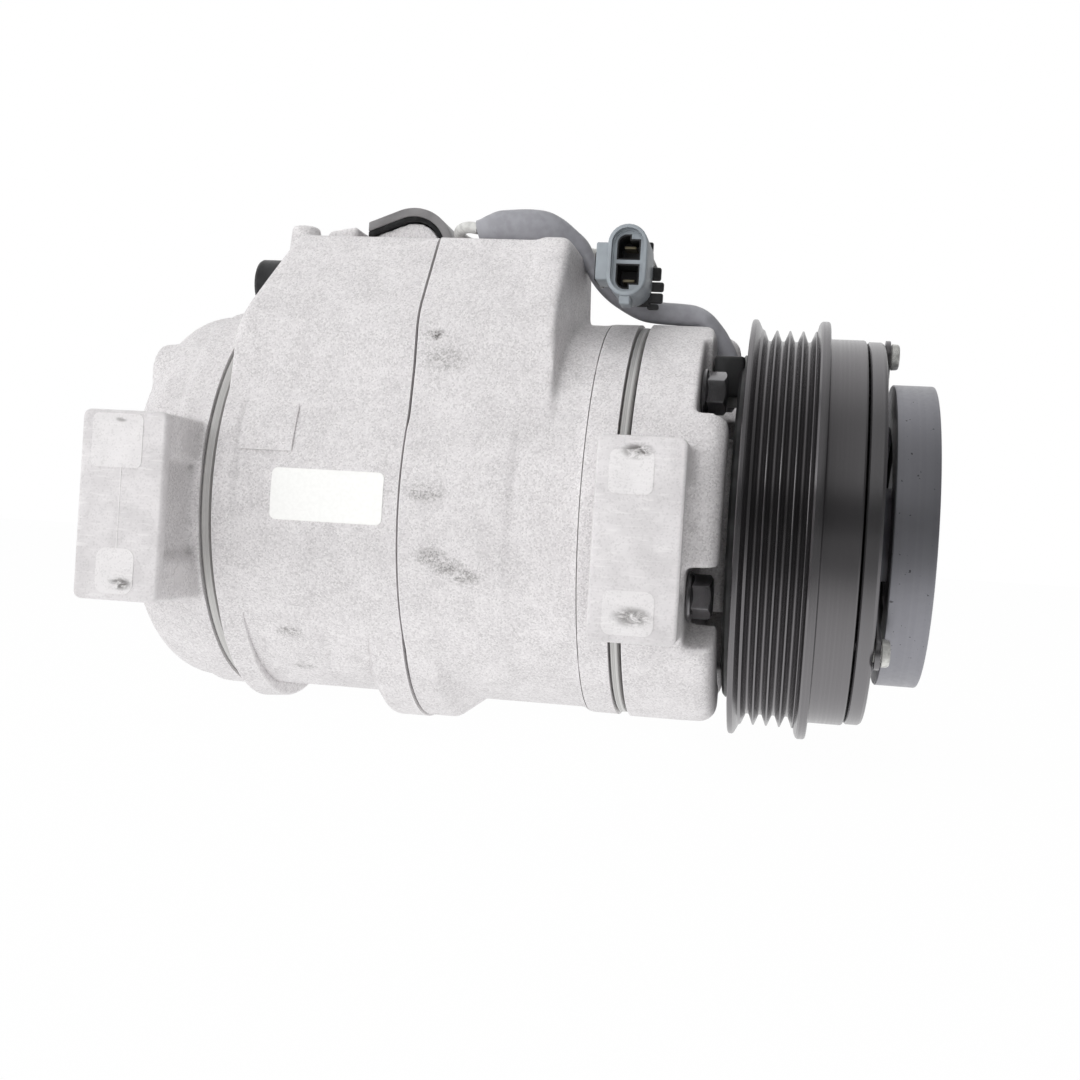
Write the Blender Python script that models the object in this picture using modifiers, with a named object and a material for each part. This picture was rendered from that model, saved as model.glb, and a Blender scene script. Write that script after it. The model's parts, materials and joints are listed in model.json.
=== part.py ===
"""Automotive air-conditioning compressor: ten cylinders, swash plate, magnetic clutch.

The shaft runs along +X, from the rear cover at X = 0 to the clutch hub, with +Z up.
The two mounting lugs stand out towards -Y. Sizes below are in millimetres.
"""

import math

import bmesh
import bpy
from mathutils import Matrix, Vector

MM = 0.001
GAP = 0.3
HALF_GAP = GAP / 2

# Stack along the shaft: rear cover, plate, two cylinders, plate, front housing.
REAR_SEAM = (25.4, 28.7)
CENTRE_SEAM = 78.7
FRONT_SEAM = (133.5, 136.7)
HOUSING_FRONT = 161.6
COVER_RADIUS = 55.0
COVER_ROUND = 13.8
COVER_STEP = 1.6
COVER_FLOOR = 8.0
CYLINDER_RADIUS = 54.0
COLLAR_RADIUS = 55.3
REAR_COLLAR_WIDTH = 5.0
FRONT_COLLAR_WIDTH = 8.4
COLLAR_DRAFT = 1.5
PLATE_RADIUS = 54.0
PLATE_BORE_RADIUS = 12.0
DISCHARGE_PORT_CIRCLE = 30.0
DISCHARGE_PORT_RADIUS = 3.0
HOUSING_RADIUS = 55.5
HOUSING_ROUND = 5.0
HOUSING_FLOOR = 150.0
CHAMBER_RADIUS = 40.5

# Facets round a circle, and how far a cutter runs past a face.
SEGMENTS = 22
CORE_SEGMENTS = 18
CLIP_SEGMENTS = 16
INNER_SEGMENTS = 14
PISTON_SEGMENTS = 12
ROUND_SEGMENTS = 12
SMALL_SEGMENTS = 8
PORT_SEGMENTS = 6
PAST = 5.0
SHARP_ANGLE = math.radians(35)

# Through bolts.
BOLT_COUNT = 5
BOLT_CIRCLE = 46.0
BOLT_FIRST_ANGLE = math.radians(47.6)
BOLT_RADIUS = 3.0
BOLT_HOLE_RADIUS = 3.4
BOLT_SEAT = 152.5
BOLT_SEAT_CIRCLE = 47.0
BOLT_SEAT_RADII = (9.0, 9.6)
BOLT_END = 10.5
BOLT_TIP_ROOM = 1.0
BOLT_SUNK = 0.5
BOLT_FLANGE_RADIUS = 6.4
BOLT_FLANGE_HEIGHT = 1.6
BOLT_HEAD_ACROSS = 10.0
BOLT_HEAD_HEIGHT = 4.8
REAR_BOSS_CIRCLE = 44.5
REAR_BOSS_X = (3.0, 19.0)
REAR_BOSS_RADII = (7.5, 9.8)

# Mounting lugs, with a bolt bore along Z.
LUG_FACE_Y = -75.5
LUG_TOP_Z = 18.7
LUG_FOOT_Z = -28.7
LUG_BORE_RADIUS = 5.1
LUG_BORE_Y = -65.5
LUG_ROOT_Y = -42.0
LUG_EDGE = 1.6
LUG_CLEAR_RADIUS = 56.3
LUG_HOLLOW_DEPTH = 2.6
LUG_HOLLOW_MARGIN = 12.0
LUG_HOLLOW_Y = (-71.5, -52.0)
REAR_LUG_X = (3.5, 24.6)
FRONT_LUG_X = (132.3, 151.7)

# Manifold block on top of the cylinders, as (y, z) corners seen along the shaft.
MANIFOLD_TOP = 72.2
MANIFOLD_OUTLINE = ((-42, 17), (-49.2, 21), (-46.6, 36), (-46.3, 49.5), (-29, MANIFOLD_TOP),
                    (26, MANIFOLD_TOP), (30, 67), (30, 40), (0, 30))
MANIFOLD_X = (29.4, 119.8)
MANIFOLD_SET_BACK = 0.01
DRAFT_RISE = 30.0
DRAFT_REACH = 100.0
REAR_DRAFT = (47.0, 9.6)
FRONT_DRAFT = (50.0, -6.5)

# Crescent feet under the cylinders: (x, radius) stations, and how far each reaches below the shaft.
FOOT_SEGMENTS = 18
REAR_FOOT = ((29.05, 52.4), (37.4, 51.8))
REAR_FOOT_REACH = 58.4
REAR_MID_FOOT = ((66.0, 42.0), (69.5, 46.5), (78.54, 46.5))
REAR_MID_FOOT_REACH = 60.4
FRONT_MID_FOOT = ((78.86, 46.0), (86.5, 46.0), (94.5, 40.0))
FRONT_MID_FOOT_REACH = 59.9

# Ports on top of the rear cylinder, with their transport cap and plug.
PORT_BASE = 66.0
SCREW_PAD_CENTRE = (37.5, -20.0)
SCREW_PAD_TOP = 77.2
SCREW_PAD_RADII = (4.8, 4.0)
PORT_SHELF_OUTLINE = ((41.5, PORT_BASE), (41.5, 77.6), (50.4, 79.4), (50.4, PORT_BASE))
PORT_SHELF_Y = (-14.0, 20.0)
PORT_BOSS_Y = (-4.0, 24.0)
PORT_ARCH_CENTRE = (64.6, 74.8)
PORT_ARCH_RADIUS = 9.3
PORT_ARCH_START = 8
PORT_ARCH_LEAN = 112
PORT_ARCH_LEFT = 51.3
PORT_CAP_THICKNESS = 3.2
PORT_CAP_Y = (-5.5, 24.5)
PLUG_AXIS = (-6.0, 63.0)
PLUG_HEAD_X = (19.6, 30.2)
PLUG_HEAD_RADIUS = 7.2
PLUG_EDGE = 0.8
PLUG_STEM_RADIUS = 5.0
PLUG_STEM_END = 48.0

# Compression train.
TRAIN_CENTRE = 81.1
PISTON_COUNT = 5
PISTON_CIRCLE = 34.0
PISTON_RADIUS = 15.2
PISTON_HALF_LENGTH = 44.8
PISTON_SLOT_HALF = 24.5
PISTON_SLOT_REACH = 20.0
PISTON_WEB_INNER = 43.4
BORE_RADIUS = 15.5
HALF_STROKE = 7.0
SWASH_RADIUS = 42.0
SWASH_THICKNESS = 8.0
SWASH_HUB_RADIUS = 15.0
SWASH_HUB_HALF = 10.0
SWASH_ROOM_RADIUS = 43.5
SWASH_ROOM_HALF = 14.5
SWASH_SEGMENTS = 20
SHOE_RADIUS = 6.3
SHOE_HEIGHT = 6.0
SHOE_PROUD = 4.5
SHOE_RIM = 2.5
SHOE_CROWN = 0.6
SHAFT_RADIUS = 9.0
SHAFT_FRONT_RADIUS = 8.0
SHAFT_NOSE_RADIUS = 7.0
SHAFT_REAR = 36.0
SHAFT_EDGE = 1.0
SHAFT_STEP = 150.0
SHAFT_NOSE_STEP = 192.0
SHAFT_FRONT = 203.0
SHAFT_THREAD_END = 184.0
BEARING_BORE_RADIUS = 14.0
REAR_NEEDLE_X = (40.0, 58.0)
FRONT_NEEDLE_X = (104.0, 122.0)
THRUST_RADII = (11.0, 16.5)
SEAL_X = (163.0, 167.0, 175.6)
SEAL_RADII = (10.5, 12.3)

# Clutch: nose of the front housing, coil, pulley, armature and hub.
NOSE_ROOT_RADIUS = 23.0
NOSE_RADIUS = 19.85
NOSE_SHOULDER = 168.0
NOSE_END = 193.0
SEAL_BORE_RADIUS = 12.6
SEAL_BORE_END = 176.0
SHAFT_BORE_RADIUS = 9.6
COIL_CLIP_GROOVE = (163.5, 165.5, 21.4)
COIL_CLIP_X = (163.8, 165.2)
COIL_CLIP_RADII = (22.0, 27.5)
COIL_RADIUS = 48.0
COIL_INNER_RADIUS = 36.0
COIL_FRONT = 184.5
COIL_BACK = 163.4
COIL_SLOT_FLOOR = 165.0
COIL_SLOT_RADII = (38.4, 45.6)
COIL_WINDING_SUNK = 0.8
LEAD_NOTCH = ((152.0, -8.0, 36.0), (170.0, 8.0, 70.0))
LEAD_OUTLET = ((154.2, -6.5, 38.5), (163.0, 6.5, 47.6))
PULLEY_REAR = 163.2
PULLEY_FRONT = 194.8
PULLEY_FLANGE_RADIUS = 58.0
PULLEY_CREST_RADIUS = 55.2
PULLEY_ROOT_RADIUS = 52.3
PULLEY_DRUM_RADIUS = 53.3
PULLEY_BORE_RADIUS = 31.0
PULLEY_RIM_INNER = 49.2
PULLEY_SLEEVE_RADIUS = 34.6
PULLEY_SLEEVE_REAR = 167.0
PULLEY_WEB_REAR = 186.3
PULLEY_LIP_RADIUS = 29.0
PULLEY_EDGE = 0.6
PULLEY_SEGMENTS = 24
GROOVE_FLAT_HALF = 0.5
GROOVE_PITCH = 3.56
GROOVE_FIRST = 168.95
GROOVE_COUNT = 4
FLANGE_REAR_END = 165.9
FLANGE_FRONT = (181.9, 185.0)
BEARING_X = (168.3, 189.0)
BEARING_CLIP_GROOVE = (189.2, 191.0, 18.4)
BEARING_CLIP_X = (189.4, 190.8)
BEARING_CLIP_RADII = (18.9, 23.6)
RACE_SHOULDER = 6.8
INNER_RACE_RADII = (22.5, 24.2)
OUTER_RACE_RADII = (28.5, 26.8)
RACE_SEGMENTS = 20
RACE_FIT = 0.4
BALL_CIRCLE = 25.5
BALL_RADIUS = 2.4
BALL_COUNT = 9
CAGE_RADIUS = 1.0
ARMATURE_X = (195.3, 199.7)
ARMATURE_RADIUS = 52.9
ARMATURE_BORE_RADIUS = 27.0
ARMATURE_EDGE = 1.0
LEAF_COUNT = 3
LEAF_FIRST_ANGLE = math.radians(82)
LEAF_X = (200.0, 201.4)
LEAF_HALF_WIDTH = 4.4
LEAF_ROOT_RADIUS = 32.0
LEAF_NECK_RADIUS = 43.0
LEAF_ROOT_SIDES = (6.0, -10.0)
RIVET_CIRCLE = 49.0
RIVET_SHANK_RADIUS = 2.5
RIVET_FLANGE_RADIUS = 4.2
RIVET_FLANGE_END = 203.2
RIVET_HEAD_RADII = (3.0, 2.7)
RIVET_FRONT = 204.8
RIVET_SEGMENTS = 8
HUB_DRUM_X = (202.0, 213.8)
HUB_DRUM_RADIUS = 41.5
HUB_FLOOR_THICKNESS = 2.6
HUB_EDGE = 1.0
HUB_RIM_RADIUS = 43.0
HUB_RIM_WIDTH = 1.6
HUB_BORE_RADIUS = 30.0
HUB_INNER_RADIUS = 37.5
DAMPER_SUNK = 1.8
DAMPER_DISH = (2.2, 30.0)
DAMPER_LIP = 1.5
BOSS_RADIUS = 22.0
BOSS_NECK_RADIUS = 13.0
BOSS_X = (193.6, 212.6)
BOSS_RECESS_RADIUS = 9.4
BOSS_FLOOR = 3.0
HUB_BOLT_REAR = 186.0
HUB_BOLT_FLANGE_RADIUS = 7.4
HUB_BOLT_HEAD_END = 6.0

# Electrical connector and its leads.
CONNECTOR_CENTRE = (131.2, 67.6)
CONNECTOR_Y = (-38.0, -20.0)
CONNECTOR_WIDTH = 11.4
CONNECTOR_HEIGHT = 20.6
CONNECTOR_WALL = 1.4
CONNECTOR_SOCKET_FLOOR = -25.0
CONNECTOR_RIB_FRONT = -32.0
CONNECTOR_RIB_HALF = 0.9
CONNECTOR_EDGE = 0.5
CONNECTOR_LIP = 1.0
LOCK_PLATE_SIZE = (3.6, 11.0, 9.5)
LATCH_TAB_SIZE = (3.2, 7.0, 4.2)
BLADE_RISE = 4.4
BLADE_HALF = (1.6, 0.4)
BLADE_Y = (-31.5, -21.5)
BRACKET_THICKNESS = 1.6
BRACKET_FOOT_X = 98.0
BRACKET_FOOT_Y = (4.5, 14.5)
BRACKET_CLIP_X = (2.8, 8.4)
BRACKET_CLIP_THICKNESS = 1.8
BRACKET_CLIP_DROP = 8.0
SLEEVE_RADIUS = 3.3
SLEEVE_ROUTE = (
    (159.9, 0, 48.2), (159.5, 0, 51.0), (157.6, 0, 55.6), (153.4, 0, 59.3), (148.6, -1, 60.6),
    (143.0, -2, 61.0), (136.2, -3, 61.0), (130.4, -4, 61.8), (126.0, -5, 64.4), (123.2, -6, 68.4),
    (120.9, -8, 72.8), (116.6, -12, 77.0), (110.6, -16, 78.4), (104.0, -19, 78.6), (97.0, -20, 78.4),
    (92.0, -20, 77.6), (87.6, -20, 76.6))
LEAD_RADIUS = 2.0
LEAD_ROUTE = (
    (87.2, -20, 76.5), (84.5, -19.6, 76.2), (81.2, -17.0, 75.9), (80.0, -12.5, 75.6), (81.8, -8.4, 75.2),
    (86.5, -6.2, 75.0), (95.0, -5.0, 74.9), (105.0, -4.0, 74.9), (113.0, -1.5, 75.2), (120.0, 2.0, 75.8),
    (125.5, 2.6, 75.0), (129.3, -1.0, 73.0), (131.0, -7.0, 69.8), (131.2, -13.0, 67.8),
    (131.2, -19.6, 67.6))
ROUTE_SPACING = 2.4

PARTS = "air_conditioning_compressor"
CUTTERS = "cutters"

CAST = ("die_cast_aluminium", (0.62, 0.62, 0.63), 0.45, 1.0)
PLATE_STEEL = ("plate_steel", (0.48, 0.48, 0.47), 0.35, 1.0)
BLACK_STEEL = ("black_coated_steel", (0.016, 0.016, 0.018), 0.4, 0.6)
BEARING_STEEL = ("bearing_steel", (0.5, 0.5, 0.52), 0.2, 1.0)
BRIGHT_STEEL = ("bright_steel", (0.6, 0.6, 0.6), 0.3, 1.0)
GREY_STEEL = ("grey_coated_steel", (0.05, 0.053, 0.06), 0.5, 0.4)
PISTON_METAL = ("coated_piston_aluminium", (0.3, 0.3, 0.32), 0.4, 1.0)
COPPER = ("enamelled_copper", (0.45, 0.15, 0.05), 0.4, 1.0)
BRASS = ("tinned_brass", (0.55, 0.42, 0.2), 0.35, 1.0)
GREY_NYLON = ("grey_nylon", (0.19, 0.22, 0.25), 0.5, 0.0)
GREY_VINYL = ("grey_vinyl", (0.14, 0.14, 0.15), 0.55, 0.0)
BLACK_PLASTIC = ("black_plastic", (0.02, 0.02, 0.021), 0.55, 0.0)
BLACK_RUBBER = ("black_rubber", (0.015, 0.015, 0.015), 0.7, 0.0)


def clear_scene():
    for obj in list(bpy.data.objects):
        bpy.data.objects.remove(obj, do_unlink=True)


def collection(name):
    found = bpy.data.collections.get(name)
    if found is None:
        found = bpy.data.collections.new(name)
        bpy.context.scene.collection.children.link(found)
    return found


def material(look):
    name, colour, roughness, metallic = look
    found = bpy.data.materials.get(name)
    if found is None:
        found = bpy.data.materials.new(name)
        found.use_nodes = True
        shader = found.node_tree.nodes["Principled BSDF"]
        shader.inputs["Base Color"].default_value = (*colour, 1.0)
        shader.inputs["Roughness"].default_value = roughness
        shader.inputs["Metallic"].default_value = metallic
    return found


def add_object(name, mesh, look):
    """Put a mesh in the scene: a part where it has a look, a cutter where it has none."""
    obj = bpy.data.objects.new(name, mesh)
    collection(PARTS if look else CUTTERS).objects.link(obj)
    if look:
        mesh.materials.append(material(look))
    else:
        obj.hide_render = True
        obj.display_type = "WIRE"
    return obj


def from_bmesh(name, bm, look=None):
    """Turn a bmesh in millimetres into an object in metres."""
    bmesh.ops.scale(bm, vec=(MM, MM, MM), verts=bm.verts)
    mesh = bpy.data.meshes.new(name)
    bm.to_mesh(mesh)
    bm.free()
    mesh.shade_smooth()
    mesh.set_sharp_from_angle(angle=SHARP_ANGLE)
    return add_object(name, mesh, look)


def around(angle, radius, x=0.0):
    """A point at an angle round the shaft, counted from -Y towards +Z."""
    return Vector((x, -radius * math.cos(angle), radius * math.sin(angle)))


def arc(centre, radius, start, end, steps):
    """Points of an arc about a centre, with its angles in degrees."""
    angles = [math.radians(start + (end - start) * i / steps) for i in range(steps + 1)]
    return [(centre[0] + radius * math.cos(a), centre[1] + radius * math.sin(a)) for a in angles]


def turned(name, profile, look=None, segments=SEGMENTS, closed=True):
    """Spin a profile of (x, r) points about the shaft; an open one starts and ends on the axis."""
    ring = list(profile)
    area = sum(a[0] * b[1] - b[0] * a[1] for a, b in zip(ring, ring[1:] + ring[:1]))
    if area < 0:
        ring.reverse()
    bm = bmesh.new()
    verts = [bm.verts.new((x, 0, r)) for x, r in ring]
    for first, second in zip(verts, verts[1:]):
        bm.edges.new((first, second))
    if closed:
        bm.edges.new((verts[-1], verts[0]))
    obj = from_bmesh(name, bm, look)
    screw = obj.modifiers.new("Turn", "SCREW")
    screw.axis = "X"
    screw.steps = segments
    screw.render_steps = segments
    screw.use_merge_vertices = True
    screw.merge_threshold = 1e-6
    return obj


def ring_part(name, x_range, radii, look, segments=SEGMENTS):
    """A plain washer between two stations along the shaft."""
    (x0, x1), (inner, outer) = x_range, radii
    return turned(name, ((x0, inner), (x0, outer), (x1, outer), (x1, inner)), look, segments)


def rod(name, start, end, radius, look=None, segments=24, end_radius=None):
    """A cylinder or cone between two points."""
    start, end = Vector(start), Vector(end)
    span = end - start
    bm = bmesh.new()
    bmesh.ops.create_cone(bm, cap_ends=True, segments=segments, radius1=radius,
                          radius2=radius if end_radius is None else end_radius, depth=span.length)
    turn = span.to_track_quat("Z", "Y").to_matrix().to_4x4()
    bmesh.ops.transform(bm, matrix=Matrix.Translation((start + end) / 2) @ turn, verts=bm.verts)
    return from_bmesh(name, bm, look)


def block(name, low, high, look=None, bevel=0.0):
    """A box between two corners, with its edges rounded where a bevel is given."""
    low, high = Vector(low), Vector(high)
    bm = bmesh.new()
    bmesh.ops.create_cube(bm, size=1.0)
    bmesh.ops.scale(bm, vec=high - low, verts=bm.verts)
    bmesh.ops.translate(bm, vec=(low + high) / 2, verts=bm.verts)
    if bevel:
        bmesh.ops.bevel(bm, geom=bm.edges[:], offset=bevel, offset_type="OFFSET", segments=1,
                        profile=0.5, affect="EDGES")
    return from_bmesh(name, bm, look)


def plate(name, outline, thickness, placing, look=None):
    """A flat outline given thickness, then placed by a matrix in millimetres."""
    curve = bpy.data.curves.new(name, "CURVE")
    curve.dimensions = "2D"
    curve.fill_mode = "BOTH"
    curve.extrude = thickness / 2
    spline = curve.splines.new("POLY")
    spline.points.add(len(outline) - 1)
    for point, (u, v) in zip(spline.points, outline):
        point.co = (u, v, 0, 1)
    spline.use_cyclic_u = True
    holder = bpy.data.objects.new(name, curve)
    bpy.context.scene.collection.objects.link(holder)
    mesh = bpy.data.meshes.new_from_object(holder.evaluated_get(bpy.context.evaluated_depsgraph_get()))
    bpy.data.objects.remove(holder, do_unlink=True)
    bpy.data.curves.remove(curve)
    bm = bmesh.new()
    bm.from_mesh(mesh)
    bpy.data.meshes.remove(mesh)
    bmesh.ops.remove_doubles(bm, verts=bm.verts, dist=1e-4)
    bmesh.ops.recalc_face_normals(bm, faces=bm.faces)
    bmesh.ops.transform(bm, matrix=placing, verts=bm.verts)
    return from_bmesh(name, bm, look)


def along_x(x0, x1):
    """Placing for an outline of (y, z) points that is pushed from x0 to x1."""
    return Matrix(((0, 0, 1, (x0 + x1) / 2), (1, 0, 0, 0), (0, 1, 0, 0), (0, 0, 0, 1)))


def along_y(y0, y1):
    """Placing for an outline of (x, z) points that is pushed from y0 to y1."""
    return Matrix(((1, 0, 0, 0), (0, 0, -1, (y0 + y1) / 2), (0, 1, 0, 0), (0, 0, 0, 1)))


def prism_x(name, outline, x0, x1, look=None):
    return plate(name, outline, x1 - x0, along_x(x0, x1), look)


def prism_y(name, outline, y0, y1, look=None):
    return plate(name, outline, y1 - y0, along_y(y0, y1), look)


def boolean(obj, operation, tools):
    for tool in tools:
        step = obj.modifiers.new(tool.name, "BOOLEAN")
        step.operation = operation
        step.solver = "EXACT"
        step.object = tool
    return obj


def join(obj, *tools):
    return boolean(obj, "UNION", tools)


def cut(obj, *tools):
    return boolean(obj, "DIFFERENCE", tools)


def bolt_angles():
    return [BOLT_FIRST_ANGLE + 2 * math.pi * i / BOLT_COUNT for i in range(BOLT_COUNT)]


def piston_angles():
    return [a + math.pi / BOLT_COUNT for a in bolt_angles()]


def ring_of_rods(name, angles, circle, x_range, radii, segments):
    """Like rods or cones on one circle, parallel to the shaft."""
    return [rod(f"{name}_{i + 1}", around(a, circle, x_range[0]), around(a, circle, x_range[1]), radii[0],
                segments=segments, end_radius=radii[1]) for i, a in enumerate(angles)]


def bolt_holes(name, x0, x1):
    radii = (BOLT_HOLE_RADIUS, BOLT_HOLE_RADIUS)
    return ring_of_rods(f"{name}_bolt_hole", bolt_angles(), BOLT_CIRCLE, (x0, x1), radii, SMALL_SEGMENTS)


def lug(name, x_range):
    """Lug block with a bolt bore along Z and a hollowed middle on each side."""
    x0, x1 = x_range
    body = block(name, (x0, LUG_FACE_Y, LUG_FOOT_Z), (x1, LUG_ROOT_Y, LUG_TOP_Z), bevel=LUG_EDGE)
    bore_x = (x0 + x1) / 2
    bore_ends = [(bore_x, LUG_BORE_Y, LUG_FOOT_Z - PAST), (bore_x, LUG_BORE_Y, LUG_TOP_Z + PAST)]
    bore = rod(f"{name}_bore", *bore_ends, LUG_BORE_RADIUS, segments=ROUND_SEGMENTS)
    y0, y1 = LUG_HOLLOW_Y
    z0, z1 = LUG_FOOT_Z + LUG_HOLLOW_MARGIN, LUG_TOP_Z - LUG_HOLLOW_MARGIN
    rear = block(f"{name}_hollow_rear", (x0 - PAST, y0, z0), (x0 + LUG_HOLLOW_DEPTH, y1, z1))
    front = block(f"{name}_hollow_front", (x1 - LUG_HOLLOW_DEPTH, y0, z0), (x1 + PAST, y1, z1))
    return body, [bore, rear, front]


def rear_housing():
    """Domed rear cover with its chambers, bolt bosses and lug."""
    face = REAR_SEAM[0] - HALF_GAP
    dome_radius = COVER_RADIUS - COVER_STEP
    dome = arc((COVER_ROUND, dome_radius - COVER_ROUND), COVER_ROUND, 90, 180, 4)
    inner = [(COVER_FLOOR, 0), (COVER_FLOOR, CHAMBER_RADIUS), (face, CHAMBER_RADIUS)]
    step = [(face, COVER_RADIUS), (COVER_ROUND + 2 * COVER_STEP, COVER_RADIUS),
            (COVER_ROUND + COVER_STEP, dome_radius)]
    body = turned("rear_housing", [*inner, *step, *dome, (0, 0)], CAST, closed=False)
    bosses = ring_of_rods("rear_boss", bolt_angles(), REAR_BOSS_CIRCLE, REAR_BOSS_X, REAR_BOSS_RADII,
                          ROUND_SEGMENTS)
    lug_body, lug_cuts = lug("rear_lug", REAR_LUG_X)
    join(body, lug_body, *bosses)
    return cut(body, *lug_cuts, *bolt_holes("rear_housing", BOLT_END - BOLT_TIP_ROOM, face + PAST))


def valve_plate(name, seam):
    """Steel plate between cylinder and head, with one discharge port to each bore."""
    x0, x1 = seam[0] + HALF_GAP, seam[1] - HALF_GAP
    body = ring_part(name, (x0, x1), (PLATE_BORE_RADIUS, PLATE_RADIUS), PLATE_STEEL)
    through = (x0 - PAST, x1 + PAST)
    radii = (DISCHARGE_PORT_RADIUS, DISCHARGE_PORT_RADIUS)
    ports = ring_of_rods(f"{name}_port", piston_angles(), DISCHARGE_PORT_CIRCLE, through, radii,
                         PORT_SEGMENTS)
    return cut(body, *ports, *bolt_holes(name, *through))


def cylinder_cuts(name, x0, x1):
    """Piston bores, swash room, shaft bore and bolt holes of one cylinder half."""
    room = (TRAIN_CENTRE - SWASH_ROOM_HALF, TRAIN_CENTRE + SWASH_ROOM_HALF)
    start, end = x0 - PAST, x1 + PAST
    profile = [(start, 0), (start, BEARING_BORE_RADIUS), (room[0], BEARING_BORE_RADIUS),
               (room[0], SWASH_ROOM_RADIUS), (room[1], SWASH_ROOM_RADIUS),
               (room[1], BEARING_BORE_RADIUS), (end, BEARING_BORE_RADIUS), (end, 0)]
    core = turned(f"{name}_core", profile, segments=CORE_SEGMENTS, closed=False)
    radii = (BORE_RADIUS, BORE_RADIUS)
    bores = ring_of_rods(f"{name}_bore", piston_angles(), PISTON_CIRCLE, (start, end), radii, PISTON_SEGMENTS)
    return [core, *bores, *bolt_holes(name, start, end)]


def manifold(name, x0, x1, end, draft):
    """Length of the manifold block between two stations, with its outer end leaning in above a height."""
    height, lean = draft
    outside = math.copysign(DRAFT_REACH, -lean)
    wedge = [(end + outside, height), (end, height), (end + lean, height + DRAFT_RISE),
             (end + outside, height + DRAFT_RISE)]
    body = prism_x(name, MANIFOLD_OUTLINE, x0, x1)
    return cut(body, prism_y(f"{name}_draft", wedge, -DRAFT_REACH, DRAFT_REACH))


def crescent_foot(name, stations, reach):
    """Round flange set low under a cylinder, so that it thins out up both flanks."""
    profile = [(stations[0][0], 0), *stations, (stations[-1][0], 0)]
    flange = turned(name, profile, segments=FOOT_SEGMENTS, closed=False)
    flange.location.z = (max(radius for _, radius in stations) - reach) * MM
    return flange


def rear_cylinder():
    """Rear half of the cylinder block, with the ports on top of its manifold."""
    x0, x1 = REAR_SEAM[1] + HALF_GAP, CENTRE_SEAM - HALF_GAP
    shoulder = x0 + REAR_COLLAR_WIDTH
    profile = [(x0, 0), (x0, COLLAR_RADIUS), (shoulder, COLLAR_RADIUS),
               (shoulder + COLLAR_DRAFT, CYLINDER_RADIUS), (x1, CYLINDER_RADIUS), (x1, 0)]
    body = turned("rear_cylinder", profile, CAST, closed=False)
    join(body, manifold("rear_manifold", MANIFOLD_X[0], x1, MANIFOLD_X[0], REAR_DRAFT),
         crescent_foot("rear_foot", REAR_FOOT, REAR_FOOT_REACH),
         crescent_foot("rear_mid_foot", REAR_MID_FOOT, REAR_MID_FOOT_REACH), *top_port())
    return cut(body, *cylinder_cuts("rear_cylinder", x0, x1), plug_bore())


def top_port():
    """Cast screw pad, port shelf and arched port boss on top of the rear cylinder."""
    pad_ends = [(*SCREW_PAD_CENTRE, PORT_BASE), (*SCREW_PAD_CENTRE, SCREW_PAD_TOP)]
    pad = rod("screw_pad", *pad_ends, SCREW_PAD_RADII[0], segments=ROUND_SEGMENTS,
              end_radius=SCREW_PAD_RADII[1])
    shelf = prism_y("port_shelf", PORT_SHELF_OUTLINE, *PORT_SHELF_Y)
    arch = port_arch(PORT_ARCH_RADIUS, PORT_ARCH_LEFT, 6)
    boss = prism_y("port_boss", [(arch[0][0], PORT_BASE), *arch, (PORT_ARCH_LEFT, PORT_BASE)], *PORT_BOSS_Y)
    return [pad, shelf, boss]


def port_arch(radius, left, steps):
    """Arch over the port as (x, z): round from the right, then a tangent down to its left end."""
    crown = arc(PORT_ARCH_CENTRE, radius, PORT_ARCH_START, PORT_ARCH_LEAN, steps)
    x, z = crown[-1]
    fall = math.tan(math.radians(PORT_ARCH_LEAN - 90))
    return [*crown, (left, z - (x - left) * fall)]


def top_port_cap():
    """Moulded protective cover that arches over the port boss."""
    left = PORT_ARCH_LEFT - GAP
    outer = port_arch(PORT_ARCH_RADIUS + GAP + PORT_CAP_THICKNESS, left, 8)
    inner = port_arch(PORT_ARCH_RADIUS + GAP, left, 8)
    return prism_y("top_port_cap", [*outer, *reversed(inner)], *PORT_CAP_Y, BLACK_PLASTIC)


def rear_port_plug():
    """Transport plug in the rear port: a broad head and a stem, on an axis beside the shaft's."""
    x0, seat = PLUG_HEAD_X
    profile = [(PLUG_STEM_END, 0), (PLUG_STEM_END, PLUG_STEM_RADIUS), (seat, PLUG_STEM_RADIUS),
               (seat, PLUG_HEAD_RADIUS), (x0 + PLUG_EDGE, PLUG_HEAD_RADIUS),
               (x0, PLUG_HEAD_RADIUS - PLUG_EDGE), (x0, 0)]
    plug = turned("rear_port_plug", profile, BLACK_PLASTIC, INNER_SEGMENTS, closed=False)
    plug.location = (0, PLUG_AXIS[0] * MM, PLUG_AXIS[1] * MM)
    return plug


def plug_bore():
    return rod("rear_plug_bore", (PLUG_HEAD_X[0], *PLUG_AXIS), (PLUG_STEM_END + GAP, *PLUG_AXIS),
               PLUG_STEM_RADIUS + GAP, segments=INNER_SEGMENTS)


def front_cylinder():
    """Front half of the cylinder block, with the rest of the manifold."""
    x0, x1 = CENTRE_SEAM + HALF_GAP, FRONT_SEAM[0] - HALF_GAP
    shoulder = x1 - FRONT_COLLAR_WIDTH
    profile = [(x0, 0), (x0, CYLINDER_RADIUS), (shoulder - COLLAR_DRAFT, CYLINDER_RADIUS),
               (shoulder, COLLAR_RADIUS), (x1, COLLAR_RADIUS), (x1, 0)]
    body = turned("front_cylinder", profile, CAST, closed=False)
    join(body, manifold("front_manifold", x0 + MANIFOLD_SET_BACK, MANIFOLD_X[1], MANIFOLD_X[1], FRONT_DRAFT),
         crescent_foot("front_mid_foot", FRONT_MID_FOOT, FRONT_MID_FOOT_REACH))
    return cut(body, *cylinder_cuts("front_cylinder", x0, x1))


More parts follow.
